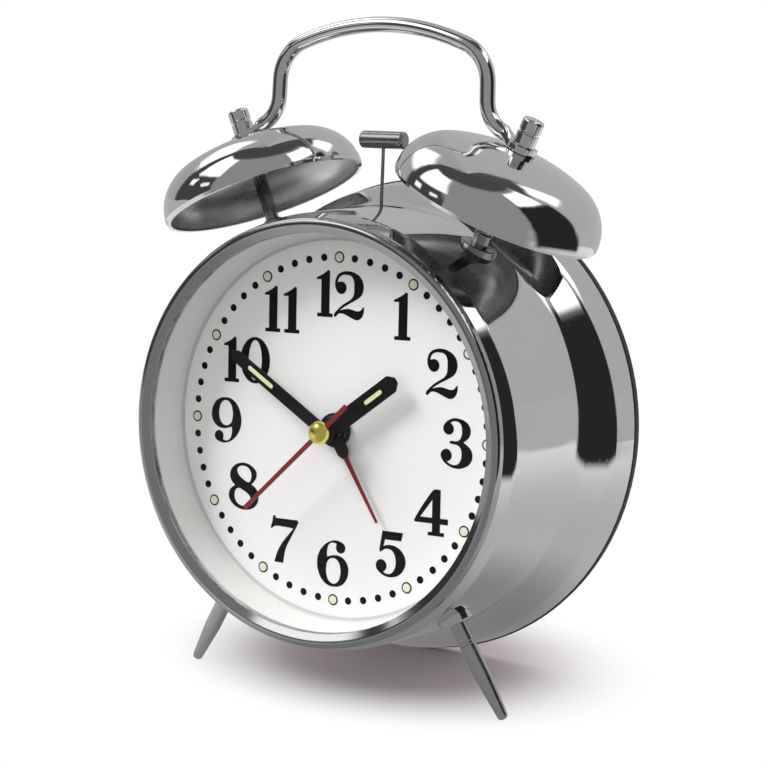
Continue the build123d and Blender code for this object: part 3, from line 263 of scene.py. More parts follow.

# %% [markdown]
# The table is a wide pale sheet. Close to the clock it is lit like any other surface and keeps the shadow,
# and a painted shadow makes its colour darker and mauve right under the clock; further out it turns plain
# white. Shiny surfaces see it as a grey sheet that ends at a wall, with one black screen standing on it; on
# that sheet a painted shade darkens it towards the clock, with a painted shadow right under the clock. Matt
# surfaces don't see it: their light from below comes from the world's fill.

# %% Table
TABLE_SIZE = 12
TABLE_TOP = -0.0002
SHADE_SQUASH, SHADE_SHIFT = 0.66, 0.008
bpy.ops.mesh.primitive_plane_add(size=TABLE_SIZE, location=(0, 0, TABLE_TOP))
table = bpy.context.object
table.name = "table"
table_paint = bpy.data.materials.new("table_white")
spot = start_tree(table_paint, "ShaderNodeTexCoord", "Object")
camera_ray, mirror_ray = ray_kinds(spot)
away = spot.node("ShaderNodeVectorMath", {"operation": "LENGTH"}, {0: spot}, "Value")
across, along = spot.dot((SHADE_SQUASH, 0, 0)), spot.dot((0, 1, 0)) - SHADE_SHIFT
beside = spot.math("SQRT", across * across + along * along)
# Painted shadow: right under the clock the table's own colour is darker and mauve, on top of its real shadow.
painted_shadow_tint = (beside + spot.noise(0.03) * 0.01).ease(0.02, 0.06).between((0.80, 0.70, 0.71, 1), grey(0.9))
matt = spot.node("ShaderNodeBsdfDiffuse", {}, {"Color": painted_shadow_tint})
spot_deg = bearing(spot)
front = near_bearing(spot_deg, -10, 50, 12)
screen = near_bearing(spot_deg, SCREEN_BEARING, SCREEN_HALF, 4) * away.ease(0.20, 0.26)
wall = front.between(grey(0.56), grey(ROOM_LEVEL))
# Painted shade: the table that mirrors see is darker towards the clock.
room = away.ease(0.09, 0.27).between(grey(0.58), grey(0.95))
room = front.between(room, grey(ROOM_LEVEL))
room = away.ease(0.30, 0.33).between(room, wall)
room = screen.between(room, grey(SCREEN_LEVEL))
# Painted shadow: mirrors see the table darkest right under the clock.
room = beside.ease(0.055, 0.025).between(room, grey(0.28))
room = camera_ray.between(room, grey(1.0))
far = spot.node("ShaderNodeEmission", {}, {"Color": room, "Strength": camera_ray + mirror_ray})
plain = beside.ease(0.018, 0.046) + mirror_ray
sheet = spot.node("ShaderNodeMixShader", {}, {0: plain, 1: matt, 2: far})
spot.node("ShaderNodeOutputMaterial", {}, {"Surface": sheet})
table.data.materials.append(table_paint)
table.visible_diffuse = False
table.visible_shadow = False
print("table", table.dimensions[:])

# %% [markdown]
# One large soft lamp stands high on the left. It draws the soft shadows of the hands on the dial, to the
# right and down, and the shade of the front ring along the dial's upper left edge. The table has a lamp of
# its own overhead, so that its shadow stays under the clock: light linking keeps the two lamps apart.

# %% Lamps
KEY_TOWARD = Vector((-0.585, -0.350, 0.732)).normalized()
KEY_AWAY, KEY_SIZE, KEY_POWER = 0.9, 0.34, 9.0
ABOVE_SPOT = Vector((0.1, 0.1, 0.9))
ABOVE_SIZE, ABOVE_POWER = 0.7, 2.6


def soft_lamp(name, spot, size, power):
    """A square lamp that mirrors don't show."""
    bpy.ops.object.light_add(type="AREA", location=spot)
    made = bpy.context.object
    made.name = name
    made.data.size = size
    made.data.energy = power
    made.visible_glossy = False
    return made


key = soft_lamp("key_lamp", hub + KEY_TOWARD * KEY_AWAY, KEY_SIZE, KEY_POWER)
key.rotation_euler = KEY_TOWARD.to_track_quat("Z", "Y").to_euler()
above = soft_lamp("table_lamp", ABOVE_SPOT, ABOVE_SIZE, ABOVE_POWER)
for lamp, state in ((key, "EXCLUDE"), (above, "INCLUDE")):
    lit = bpy.data.collections.new(lamp.name + "_on_table")
    lit.objects.link(table)
    lamp.light_linking.receiver_collection = lit
    lit.collection_objects[0].light_linking.link_state = state
print("lamp at", [round(value, 3) for value in key.location])

# %% [markdown]
# Finishes. Each is a small recipe on the piece's own coordinates: a colour with a little variation, a
# roughness that changes over the surface, and a bump for what a finger would feel.


# %% A finish
finishes = {}


def begin(name):
    """Starts a finish; gives the piece's own coordinates."""
    finishes[name] = bpy.data.materials.new(name)
    return start_tree(finishes[name], "ShaderNodeTexCoord", "Object")


def close(at, **sockets):
    """Ends a finish with a Principled shader; an underscore in a name stands for a space."""
    values = {name.replace("_", " "): value for name, value in sockets.items()}
    surface = at.node("ShaderNodeBsdfPrincipled", {}, values)
    at.node("ShaderNodeOutputMaterial", {}, {"Surface": surface})


print("ready for finishes")

# %% [markdown]
# Plated chrome is nearly a mirror. Up close it has faint wiping haze, a slow waviness from the polished
# sheet below it, and a few specks, so its roughness and its normal both move a little. The front ring and the
# feet have a duller plate, and their colour is darkened as painted shade, standing for the darker
# reflections they show. The insides of the bells are satin.


# %% Chrome
def plate_chrome(name, heart=None, level=0.68, polish=0.035):
    """Chrome plate; where a bell's heart is given, faces that look towards it are satin."""
    at = begin(name)
    haze = at.noise(0.012, 3.0, 0.6)
    specks = at.noise(0.0009, 1.0).ease(0.70, 0.78)
    wave = at.noise(0.03, 1.0)
    tone = haze.between((level - 0.02, level - 0.015, level - 0.005, 1), grey(level + 0.02))
    rough = polish + haze.ease(0.45, 0.75) * 0.05 + specks * 0.12
    if heart is not None:
        normal = at.node("ShaderNodeNewGeometry", {}, {}, "Normal")
        inside = normal.dot(at.minus(heart)).ease(0.001, -0.001)
        tone = inside.between(tone, grey(0.70))
        rough = rough + inside * (0.18 + 0.1 * haze)
    close(at, Base_Color=tone, Metallic=1.0, Roughness=rough, Normal=at.bump(wave, 0.00012))


plate_chrome("polished_chrome")
# Painted shade: the front ring and the feet are darker copies of the chrome.
plate_chrome("bezel_chrome", level=0.42, polish=0.09)
plate_chrome("foot_chrome", level=0.50, polish=0.20)
for bell in ("bell_left", "bell_right"):
    low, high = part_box(bell)
    plate_chrome(bell + "_chrome", (Vector(low) + Vector(high)) / 2)
print("chromes", list(finishes))

# %% [markdown]
# Screws, contacts and the other small steel pieces have a fine turned grain. The posts and the striker are
# shown as a darker steel. The iron of the motor and the ringer has a dull scale, and the cap of the hands is
# lacquered brass.

# %% Steel, iron and brass
at = begin("turned_steel")
rings = at.noise(0.0006, 2.0)
close(
    at,
    Base_Color=rings.between((0.50, 0.50, 0.50, 1), (0.62, 0.615, 0.60, 1)),
    Metallic=1.0,
    Roughness=0.18 + rings * 0.18,
    Normal=at.bump(rings, 0.00001),
)

at = begin("dark_steel")
streaks = at.noise(0.0008, 2.0)
close(
    at,
    Base_Color=streaks.between((0.24, 0.24, 0.245, 1), (0.34, 0.34, 0.34, 1)),
    Metallic=1.0,
    Roughness=0.12 + streaks * 0.12,
    Normal=at.bump(streaks, 0.00001),
)

at = begin("soft_iron")
scale = at.noise(0.0025, 4.0, 0.6)
close(
    at,
    Base_Color=scale.between((0.22, 0.215, 0.21, 1), (0.38, 0.37, 0.36, 1)),
    Metallic=1.0,
    Roughness=0.38 + scale * 0.22,
    Normal=at.bump(scale, 0.00004),
)

at = begin("lacquered_brass")
haze = at.noise(0.0012, 3.0)
close(
    at,
    Base_Color=haze.between((0.82, 0.70, 0.13, 1), (0.93, 0.83, 0.22, 1)),
    Metallic=1.0,
    Roughness=0.16 + haze * 0.14,
    Coat_Weight=0.3 * haze,
)
print("metals", list(finishes))

# %% [markdown]
# The ringer's and the motor's coils are bobbins of fine enamelled wire. The turns are far too fine to
# model, so bands along the coil give their ridges in the bump and, in the colour, a painted sheen and
# shade on each turn.

# %% Wire, board, cell
at = begin("enamelled_wire")
# Painted sheen and shade: the colour runs from dark to light across each turn of wire.
turns_and_sheen = at.node(
    "ShaderNodeTexWave",
    {"wave_type": "BANDS", "bands_direction": "X"},
    {"Vector": at, "Scale": 900.0, "Distortion": 0.6, "Detail": 1.0},
    "Fac",
)
close(
    at,
    Base_Color=turns_and_sheen.between((0.30, 0.09, 0.03, 1), (0.62, 0.25, 0.10, 1)),
    Metallic=0.85,
    Roughness=0.30 + turns_and_sheen * 0.12,
    Normal=at.bump(turns_and_sheen, 0.00006),
)

at = begin("circuit_board")
weave = at.noise(0.0008, 3.0)
tracks = at.noise(0.006, 0.0).ease(0.52, 0.53)
close(
    at,
    Base_Color=tracks.between((0.03, 0.13, 0.06, 1), (0.05, 0.22, 0.10, 1)),
    Roughness=0.35 + weave * 0.2,
    Normal=at.bump(weave + tracks * 2, 0.00002),
)

at = begin("cell_jacket")
fleck = at.noise(0.0015, 3.0)
close(
    at,
    Base_Color=fleck.between((0.05, 0.07, 0.11, 1), (0.075, 0.095, 0.14, 1)),
    Metallic=0.35,
    Roughness=0.28 + fleck * 0.1,
    Normal=at.bump(fleck, 0.00001),
)
print("finishes so far", len(finishes))

# %% [markdown]
# Moulded plastic carries the grain of its mould. The cover has a fine spark-eroded grain, the knobs are
# smoother, and the wheels are natural acetal, a waxy off-white.

# %% Plastics
at = begin("grained_black")
grain = at.noise(0.0007, 3.0, 0.6)
wear = at.noise(0.018, 4.0)
close(
    at,
    Base_Color=wear.between((0.010, 0.010, 0.011, 1), (0.022, 0.022, 0.023, 1)),
    Roughness=0.42 + grain * 0.2,
    Normal=at.bump(grain, 0.00009, 0.6),
)

at = begin("frame_plastic")
grain = at.noise(0.001, 2.0)
close(
    at,
    Base_Color=at.noise(0.02).between((0.10, 0.10, 0.105, 1), (0.14, 0.14, 0.145, 1)),
    Roughness=0.45 + grain * 0.15,
    Normal=at.bump(grain, 0.00004),
)

at = begin("natural_acetal")
grain = at.noise(0.0015, 2.0)
close(
    at,
    Base_Color=grain.between((0.70, 0.68, 0.62, 1), (0.80, 0.78, 0.72, 1)),
    Roughness=0.32 + grain * 0.16,
    Normal=at.bump(grain, 0.00002),
)
print("finishes so far", len(finishes))

# %% [markdown]
# The dial is white painted sheet, and the ring around it is moulded in white. Both are bright, with a faint
# orange-peel in the paint, and a painted shade darkens the ring along the seam where it meets the dial. The
# glass is clear: it only takes a gloss at shallow angles.

# %% Dial paint, ring and glass
at = begin("dial_paint")
peel = at.noise(0.0011, 2.0)
tone = at.noise(0.02, 2.0)
close(
    at,
    Base_Color=tone.between((0.83, 0.83, 0.82, 1), (0.87, 0.87, 0.865, 1)),
    Roughness=0.50 + peel * 0.15,
    Normal=at.bump(peel, 0.00001),
)

at = begin("ring_white")
grain = at.noise(0.0016, 2.0)
ring_inside = min((corner.co - hub).length for corner in nodes["dial_surround"].data.vertices)
# Painted shade: the ring's colour darkens along its inner edge, where it meets the dial.
painted_seam_shade = at.distance(hub).ease(ring_inside + 0.0013, ring_inside + 0.0001)
white = at.noise(0.015).between((0.76, 0.76, 0.75, 1), (0.81, 0.81, 0.80, 1))
close(
    at,
    Base_Color=painted_seam_shade.between(white, (0.52, 0.52, 0.51, 1)),
    Roughness=0.34 + grain * 0.14,
    Normal=at.bump(grain, 0.00002),
)

at = begin("clear_glass")
smear = at.noise(0.02, 3.0)
facing = at.node("ShaderNodeLayerWeight", {}, {"Blend": 0.5}, "Facing")
gloss = 0.006 + 0.9 * facing.math("POWER", facing, 5.0)
close(
    at,
    Base_Color=(0.93, 0.95, 0.95, 1),
    Metallic=1.0,
    Roughness=0.02 + smear.ease(0.5, 0.8) * 0.03,
    Alpha=gloss,
)
print("finishes so far", len(finishes))

# %% [markdown]
# Hands are stamped sheet with satin paint, black or dark red. The alarm hand is red with a black root. The
# windows of the hands hold a pale green glow paint that is a little grainy, in a slit with round ends.

# %% Hand paints
BLACK = grey(0.006)
RED_DARK, RED_LIGHT = (0.17, 0.009, 0.011, 1), (0.22, 0.015, 0.015, 1)
ROOT_REACH = 0.0074
at = begin("satin_black")
peel = at.noise(0.0008, 2.0)
close(
    at,
    Base_Color=peel.between((0.005, 0.005, 0.005, 1), (0.010, 0.010, 0.010, 1)),
    Roughness=0.36 + peel * 0.16,
    Specular_IOR_Level=0.2,
    Normal=at.bump(peel, 0.00001),
)

at = begin("satin_red")
peel = at.noise(0.0008, 2.0)
close(
    at,
    Base_Color=peel.between(RED_DARK, RED_LIGHT),
    Roughness=0.34 + peel * 0.16,
    Normal=at.bump(peel, 0.00001),
)

at = begin("alarm_red")
peel = at.noise(0.0008, 2.0)
root = at.distance(hub).ease(ROOT_REACH + 0.0001, ROOT_REACH - 0.0001)
close(
    at,
    Base_Color=root.between(peel.between(RED_DARK, RED_LIGHT), BLACK),
    Roughness=0.34 + peel * 0.16,
    Specular_IOR_Level=0.3,
    Normal=at.bump(peel, 0.00001),
)
print("finishes so far", len(finishes))

# %% Glow paint and ink
SLIT_HALF = 0.00052
for hand in ("hour_hand", "minute_hand"):
    corners = [corner.co.copy() for corner in nodes[hand + "_lume"].data.vertices]
    middle = sum(corners, Vector()) / len(corners)
    along = middle - hub - outward * outward.dot(middle - hub)
    along.normalize()
    reach = max(abs(along.dot(corner - middle)) for corner in corners) - 2 * SLIT_HALF
    at = begin(hand + "_slit")
    crystals = at.noise(0.0004, 2.0)
    place = at.minus(middle)
    side = place.dot(outward.cross(along))
    beyond = at.math("MAXIMUM", abs(place.dot(along)) - reach, 0.0)
    paint = at.math("SQRT", side * side + beyond * beyond).ease(SLIT_HALF * 1.08, SLIT_HALF * 0.92)
    green = crystals.between((0.60, 0.69, 0.36, 1), (0.70, 0.79, 0.46, 1))
    close(
        at,
        Base_Color=paint.between(BLACK, green),
        Roughness=0.5 + crystals * 0.2,
        Specular_IOR_Level=0.2,
        Normal=at.bump(crystals, 0.00002),
    )

at = begin("glow_paint")
crystals = at.noise(0.0004, 2.0)
close(
    at,
    Base_Color=crystals.between((0.60, 0.70, 0.52, 1), (0.72, 0.80, 0.62, 1)),
    Roughness=0.6 + crystals * 0.2,
    Normal=at.bump(crystals, 0.00003),
)

at = begin("dial_ink")
edge = at.noise(0.0006, 2.0)
close(
    at,
    Base_Color=edge.between((0.0025, 0.0025, 0.0025, 1), (0.006, 0.0055, 0.0055, 1)),
    Roughness=0.5 + edge * 0.15,
    Specular_IOR_Level=0.15,
    Normal=at.bump(edge, 0.000005),
)
print("all finishes", sorted(finishes))

# %% [markdown]
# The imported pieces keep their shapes, apart from three that are replaced further on. Each takes the finish of
# its record slot, and a few that share a slot but not a look are named on their own.

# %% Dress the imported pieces
SLOT_FINISH = {
    "chrome": "polished_chrome",
    "steel": "turned_steel",
    "iron": "soft_iron",
    "brass": "lacquered_brass",
    "copper": "enamelled_wire",
    "lens_glass": "clear_glass",
    "dial_white": "dial_paint",
    "black_plastic": "grained_black",
    "frame_plastic": "frame_plastic",
    "gear_plastic": "natural_acetal",
    "board": "circuit_board",
    "cell_jacket": "cell_jacket",
    "hand_black": "satin_black",
    "hand_red": "satin_red",
    "lume": "glow_paint",
}
OWN_FINISH = {
    "dial_surround": "ring_white",
    "front_bezel": "bezel_chrome",
    "foot_left": "foot_chrome",
    "foot_right": "foot_chrome",
    "alarm_hand": "alarm_red",
    "hour_hand_lume": "hour_hand_slit",
    "minute_hand_lume": "minute_hand_slit",
    "bell_left": "bell_left_chrome",
    "bell_right": "bell_right_chrome",
    "bell_post_left": "dark_steel",
    "bell_post_right": "dark_steel",
    "hammer_head": "dark_steel",
    "hammer_rod": "dark_steel",
}
for name, piece in nodes.items():
    for place in piece.material_slots:
        slot_name = place.material.name.split(".")[0]
        finish = OWN_FINISH.get(name) or SLOT_FINISH[slot_name]
        place.material = finishes[finish]
print("dressed", len(nodes), "pieces")

# %% [markdown]
# The numerals are bold old-style figures with ball ends. Each is a closed outline in millimetres from its own
# centre, drawn as a smooth curve: a point where the outline turns sharply is a corner, the others are smooth.

# %% Outlines of the figures
FIGURES = {
    "1": [
        [(-1.8, -5.65), (2.55, -5.65), (2.55, -4.75), (1.65, -4.75), (1.65, 5.3), (1.1, 5.55), (0.4, 4.95),
         (-0.5, 4.4), (-2.1, 3.65), (-2.1, 3.2), (-0.75, 3.2), (-0.75, -4.75), (-1.8, -4.75)],
    ],
    "2": [
        [(-3.95, -4.75), (-3.75, -4.25), (-3.0, -3.45), (-1.5, -2.2), (0.0, -1.3), (1.0, -0.6), (1.55, 0.4),
         (1.65, 2.0), (1.5, 3.6), (0.8, 4.6), (-0.6, 4.9), (-1.8, 4.75), (-2.7, 4.0), (-2.95, 3.1),
         (-1.6, 3.25), (-0.7, 2.6), (-0.5, 1.9), (-0.8, 0.9), (-1.7, 0.35), (-2.6, 0.5), (-3.3, 1.2),
         (-3.7, 2.3), (-3.6, 3.7), (-2.9, 4.9), (-1.6, 5.6), (0.0, 5.8), (2.0, 5.35), (3.5, 4.3),
         (4.25, 2.6), (4.15, 1.2), (3.5, 0.0), (2.0, -1.0), (0.2, -1.95), (-1.2, -2.75), (-2.3, -3.5),
         (-1.0, -3.2), (0.2, -3.05), (1.5, -3.3), (2.6, -3.5), (3.5, -3.3), (3.95, -2.8), (4.2, -2.5),
         (4.5, -2.5), (4.35, -4.0), (3.9, -4.9), (3.0, -5.55), (2.3, -5.6), (1.0, -5.2), (-0.3, -4.65),
         (-1.6, -4.25), (-2.6, -4.35), (-3.2, -4.9), (-3.6, -5.15), (-3.9, -5.0)],
    ],
    "3": [
        [(-3.45, 3.0), (-3.1, 4.2), (-2.0, 5.15), (-0.8, 5.65), (0.2, 5.7), (2.4, 5.1), (3.5, 4.0),
         (3.8, 3.0), (3.5, 1.7), (2.6, 0.7), (1.95, 0.25), (2.7, -0.2), (3.9, -1.2), (4.4, -2.6),
         (4.0, -4.2), (2.6, -5.4), (0.3, -5.95), (-2.0, -5.4), (-3.5, -4.2), (-4.0, -3.0), (-3.5, -2.0),
         (-2.5, -1.55), (-1.5, -2.0), (-1.05, -3.0), (-1.4, -4.0), (-2.3, -4.5), (-1.2, -5.05), (0.0, -5.1),
         (0.9, -4.6), (1.4, -3.6), (1.5, -2.3), (1.2, -1.2), (0.3, -0.5), (-0.9, -0.35), (-1.7, -0.2),
         (-1.75, 0.2), (-1.2, 0.4), (0.0, 0.4), (0.9, 0.8), (1.4, 1.7), (1.45, 3.3), (1.1, 4.4),
         (0.2, 4.95), (-0.8, 4.9), (-1.6, 4.55), (-1.0, 4.0), (-0.65, 3.1), (-1.05, 2.15), (-2.0, 1.75),
         (-3.0, 2.15)],
    ],
    "4": [
        [(0.4, 5.5), (0.9, 5.7), (2.4, 5.65), (2.4, -1.0), (4.5, -1.0), (4.5, -2.35), (2.4, -2.35),
         (2.4, -4.3), (3.5, -4.3), (3.5, -5.2), (-0.85, -5.2), (-0.85, -4.4), (0.25, -4.3), (0.25, -2.35),
         (-4.5, -2.35), (-4.6, -2.0)],
        [(0.2, 3.2), (0.2, -1.0), (-2.95, -1.0)],
    ],
    "5": [
        [(-2.2, 5.4), (3.5, 5.4), (3.0, 3.4), (-1.4, 3.4), (-1.85, 1.75), (-0.9, 2.1), (0.3, 2.2),
         (2.0, 1.8), (3.5, 0.7), (4.35, -1.3), (3.9, -3.2), (2.6, -4.7), (0.8, -5.4), (-1.0, -5.4),
         (-2.8, -4.6), (-3.8, -3.4), (-3.75, -2.5), (-3.2, -1.75), (-2.35, -1.45), (-1.3, -1.9),
         (-0.85, -2.95), (-1.3, -4.0), (-1.8, -4.4), (-0.8, -4.75), (0.3, -4.6), (1.1, -3.8), (1.6, -2.4),
         (1.55, -1.0), (1.2, 0.1), (0.5, 0.9), (-0.4, 1.2), (-1.4, 1.1), (-2.4, 0.45), (-2.75, 0.25),
         (-2.9, 0.5)],
    ],
    "6": [
        [(0.5, 5.75), (-1.3, 5.3), (-3.0, 4.1), (-4.3, 2.2), (-4.75, 0.0), (-4.3, -2.4), (-3.2, -4.2),
         (-1.6, -5.3), (0.3, -5.5), (2.0, -5.1), (3.4, -3.9), (4.2, -1.7), (4.0, 0.0), (3.0, 1.4),
         (1.5, 2.1), (0.2, 2.15), (-1.0, 1.9), (-1.9, 1.6), (-1.95, 2.6), (-1.75, 3.9), (-1.2, 4.8),
         (-0.3, 5.15), (0.75, 4.95), (0.6, 3.9), (0.95, 3.15), (1.9, 2.75), (2.9, 3.2), (3.25, 4.1),
         (2.9, 4.95), (1.9, 5.5)],
        [(-0.1, 1.4), (1.2, 0.8), (1.9, -0.8), (1.9, -2.6), (1.3, -4.1), (0.0, -4.8), (-1.3, -4.2),
         (-2.0, -2.7), (-2.1, -0.8), (-1.5, 0.8)],
    ],
    "7": [
        [(-3.0, 5.4), (-2.7, 5.75), (-2.3, 5.7), (-2.2, 5.15), (4.2, 5.15), (4.45, 4.7), (4.2, 4.1),
         (3.6, 3.0), (2.2, 0.5), (1.0, -1.8), (0.5, -3.6), (0.2, -5.7), (-2.4, -5.65), (-2.1, -4.6),
         (-1.5, -3.0), (-0.5, -1.2), (1.0, 0.7), (2.4, 2.3), (3.0, 3.0), (2.5, 3.1), (0.0, 3.2),
         (-2.0, 3.2), (-2.7, 3.0), (-3.3, 2.45), (-3.7, 2.6), (-3.5, 3.2), (-3.1, 4.5)],
    ],
    "8": [
        [(0.2, 5.8), (2.4, 5.1), (3.7, 3.7), (3.6, 2.4), (2.8, 1.2), (2.2, 0.65), (3.2, 0.1), (4.1, -1.0),
         (4.4, -2.3), (4.0, -3.9), (2.8, -5.1), (0.8, -5.75), (-1.3, -5.6), (-3.2, -4.7), (-4.4, -3.2),
         (-4.5, -2.1), (-4.0, -0.9), (-2.7, 0.05), (-3.6, 0.9), (-4.2, 2.2), (-4.1, 3.4), (-3.2, 4.7),
         (-1.6, 5.6)],
        [(-0.1, 5.05), (1.3, 4.6), (2.1, 3.4), (2.1, 2.2), (1.6, 1.2), (1.0, 1.15), (0.0, 1.6), (-1.2, 2.4),
         (-2.0, 3.4), (-2.0, 4.2), (-1.3, 4.85)],
        [(-1.6, -0.55), (-0.4, -0.9), (0.8, -1.5), (1.8, -2.3), (1.9, -3.3), (1.2, -4.4), (-0.2, -4.85),
         (-1.6, -4.5), (-2.6, -3.4), (-2.8, -2.1), (-2.4, -1.0)],
    ],
}
OVAL = [(math.cos(step * math.pi / 8), math.sin(step * math.pi / 8)) for step in range(16)]
FIGURES["0"] = [[(4.35 * x, 5.65 * y) for x, y in OVAL], [(1.95 * x, 4.9 * y) for x, y in OVAL]]
FIGURES["9"] = [[(-x - 0.2, -y + 0.1) for x, y in loop] for loop in FIGURES["6"]]
print("figures", sorted(FIGURES))

# %% [markdown]
# A few moves come back for every modelled piece: to choose pieces and join them, to pick parts of a mesh by a
# test, to give a flat stamping its thickness, and to stand a finished drawing on the dial.

# %% Moves that come back
DIAL_TURN = 0.0193
PARTS = {"VERT": "vertices", "EDGE": "edges", "FACE": "polygons"}


def choose(*pieces):
    """Selects these pieces only; the first becomes the active one."""
    bpy.ops.object.select_all(action="DESELECT")
    for piece in pieces:
        piece.select_set(True)
    bpy.context.view_layer.objects.active = pieces[0]


def join(*pieces):
    """Joins pieces into the first of them."""
    choose(*pieces)
    bpy.ops.object.join()
    return pieces[0]


def pick(piece, kind, wanted):
    """Selects the vertices, edges or faces of a piece that pass a test, and leaves it in edit mode."""
    bpy.ops.object.mode_set(mode="EDIT")
    bpy.ops.mesh.select_mode(type=kind)
    bpy.ops.mesh.select_all(action="DESELECT")
    bpy.ops.object.mode_set(mode="OBJECT")
    for part in getattr(piece.data, PARTS[kind]):
        part.select = wanted(part)
    bpy.ops.object.mode_set(mode="EDIT")


def edit_all(kind):
    """Goes into edit mode with everything selected."""
    bpy.ops.object.mode_set(mode="EDIT")
    bpy.ops.mesh.select_mode(type=kind)
    bpy.ops.mesh.select_all(action="SELECT")


def extrude(across, up, out):
    """Extrudes what is selected."""
    bpy.ops.mesh.extrude_region_move(TRANSFORM_OT_translate={"value": (across, up, out)})


def settle():
    """Turns all faces outwards, leaves edit mode and applies the piece's place."""
    bpy.ops.mesh.select_all(action="SELECT")
    bpy.ops.mesh.normals_make_consistent(inside=False)
    bpy.ops.object.mode_set(mode="OBJECT")
    bpy.ops.object.transform_apply(location=True, rotation=True, scale=True)


def stamp(height):
    """Gives the flat piece in edit mode its thickness."""
    bpy.ops.mesh.select_mode(type="FACE")
    bpy.ops.mesh.select_all(action="SELECT")
    extrude(0, 0, height)
    settle()


def on_dial(name):
    """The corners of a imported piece, in millimetres on the dial."""
    return [dial_place.inverted() @ corner.co for corner in nodes[name].data.vertices]


def stand_on_dial(piece, name, finish, turn=DIAL_TURN, body="case"):
    """Puts a piece that is drawn in millimetres on the dial, and makes it ride with a body."""
    choose(piece)
    piece.name = name
    piece.matrix_world = dial_place @ Matrix.Rotation(turn, 4, "Z")
    bpy.ops.object.transform_apply(location=True, rotation=True, scale=True)
    piece.data.materials.clear()
    piece.data.materials.append(finishes[finish])
    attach(piece, body)
    print(name, len(piece.data.polygons), "faces")


print("moves ready")

# %% [markdown]
# The figures stand on a ring around the dial's centre, each set one by one as a printer would. All of them go
# into one flat curve, which is thickened to the height of an ink film and then made a mesh.

# %% Print the numerals
INK_HEIGHT = 0.03
INK_LIFT = 0.005
CORNER = math.radians(60)
NUMERALS = [
    ((0.0, 32.0), [("1", -4.2, 0.35), ("2", 2.65, 0.0)]),
    ((17.4, 28.1), [("1", 0.0, 0.0)]),
    ((28.4, 15.4), [("2", 0.0, 0.0)]),
    ((32.8, -0.2), [("3", 0.0, 0.0)]),
    ((26.7, -17.2), [("4", 0.0, 0.0)]),
    ((15.7, -28.1), [("5", 0.0, 0.0)]),
    ((0.0, -32.3), [("6", 0.0, 0.0)]),
    ((-14.8, -28.1), [("7", 0.0, 0.0)]),
    ((-26.6, -16.2), [("8", 0.0, 0.0)]),
    ((-32.2, -0.3), [("9", 0.0, 0.0)]),
    ((-28.0, 14.7), [("1", -3.1, 0.2), ("0", 4.2, 0.3)]),
    ((-15.7, 27.5), [("1", -3.45, 0.4), ("1", 2.1, 0.4)]),
]


def outline(curve, loop, shift):
    """Adds one closed outline to a curve, with corners where it turns sharply."""
    spline = curve.splines.new("BEZIER")
    spline.use_cyclic_u = True
    spline.resolution_u = 6
    spline.bezier_points.add(len(loop) - 1)
    points = [Vector(point) for point in loop]
    for index, knot in enumerate(spline.bezier_points):
        before = points[index] - points[index - 1]
        after = points[(index + 1) % len(points)] - points[index]
        kind = "VECTOR" if before.angle(after) > CORNER else "AUTO"
        knot.handle_left_type = kind
        knot.handle_right_type = kind
        knot.co = (points[index] + shift).to_3d()


ink = bpy.data.curves.new("numerals", "CURVE")
ink.dimensions = "2D"
ink.fill_mode = "BOTH"
ink.extrude = INK_HEIGHT / 2
for centre, figures in NUMERALS:
    for figure, across, up in figures:
        for loop in FIGURES[figure]:
            outline(ink, loop, Vector(centre) + Vector((across, up)))
numerals = bpy.data.objects.new("numerals", ink)
scene.collection.objects.link(numerals)
choose(numerals)
bpy.ops.object.convert(target="MESH")
numerals = bpy.context.object
bpy.ops.object.mode_set(mode="EDIT")
bpy.ops.mesh.select_all(action="SELECT")
bpy.ops.mesh.remove_doubles(threshold=0.0005)
bpy.ops.transform.translate(value=(0, 0, INK_HEIGHT / 2 + INK_LIFT))
bpy.ops.object.mode_set(mode="OBJECT")
stand_on_dial(numerals, "dial_numerals", "dial_ink")

# %% [markdown]
# The minute track is sixty printed dots, and each hour has a larger dot of glow paint on a dark ring. One
# dot of each kind is raised from a disc with a softened edge, and then copied around the dial.


# %% Dots of the minute track
TRACK_RADIUS = 41.0
WALL_SHARE = 0.6
SLOPE_SHARE = 0.12
MINUTE_DOT, HOUR_RING, HOUR_DOT = 0.90, 1.38, 1.02
RING_HEIGHT, GLOW_HEIGHT = 0.05, 0.12


def dot(radius, base, height, sides):
    """A low disc of ink or paint with a softened upper edge, at twelve o'clock on the track."""
    bpy.ops.object.select_all(action="DESELECT")
    bpy.ops.mesh.primitive_circle_add(
        vertices=sides, radius=radius, fill_type="NGON", location=(0, TRACK_RADIUS, base)
    )
    made = bpy.context.object
    edit_all("VERT")
    extrude(0, 0, height * WALL_SHARE)
    bpy.ops.mesh.inset(thickness=radius * SLOPE_SHARE, depth=height * (1 - WALL_SHARE))
    settle()
    return made


def around(first, count):
    """Copies a piece around the dial's centre and joins the copies into one."""
    copies = [first]
    for step in range(1, count):
        copy = first.copy()
        copy.data = first.data.copy()
        copy.data.transform(Matrix.Rotation(-math.tau * step / count, 4, "Z"))
        scene.collection.objects.link(copy)
        copies.append(copy)
    return join(*copies)


minute_dot = dot(MINUTE_DOT, INK_LIFT, INK_HEIGHT, 20)
stand_on_dial(around(minute_dot, 60), "minute_dots", "dial_ink")
hour_ring = dot(HOUR_RING, INK_LIFT, RING_HEIGHT, 28)
stand_on_dial(around(hour_ring, 12), "hour_dot_rings", "dial_ink")
hour_dot = dot(HOUR_DOT, RING_HEIGHT, GLOW_HEIGHT, 28)
stand_on_dial(around(hour_dot, 12), "hour_dots", "glow_paint")

# %% [markdown]
# The second hand is a plain stamped strip with a broader tail, and a polished brass button hides where it is
# pressed on its arbor. The strip starts as a flat plane that is stretched, narrowed at its tip and extruded;
# the button is a ball that is cut in half, flattened and given a short skirt.

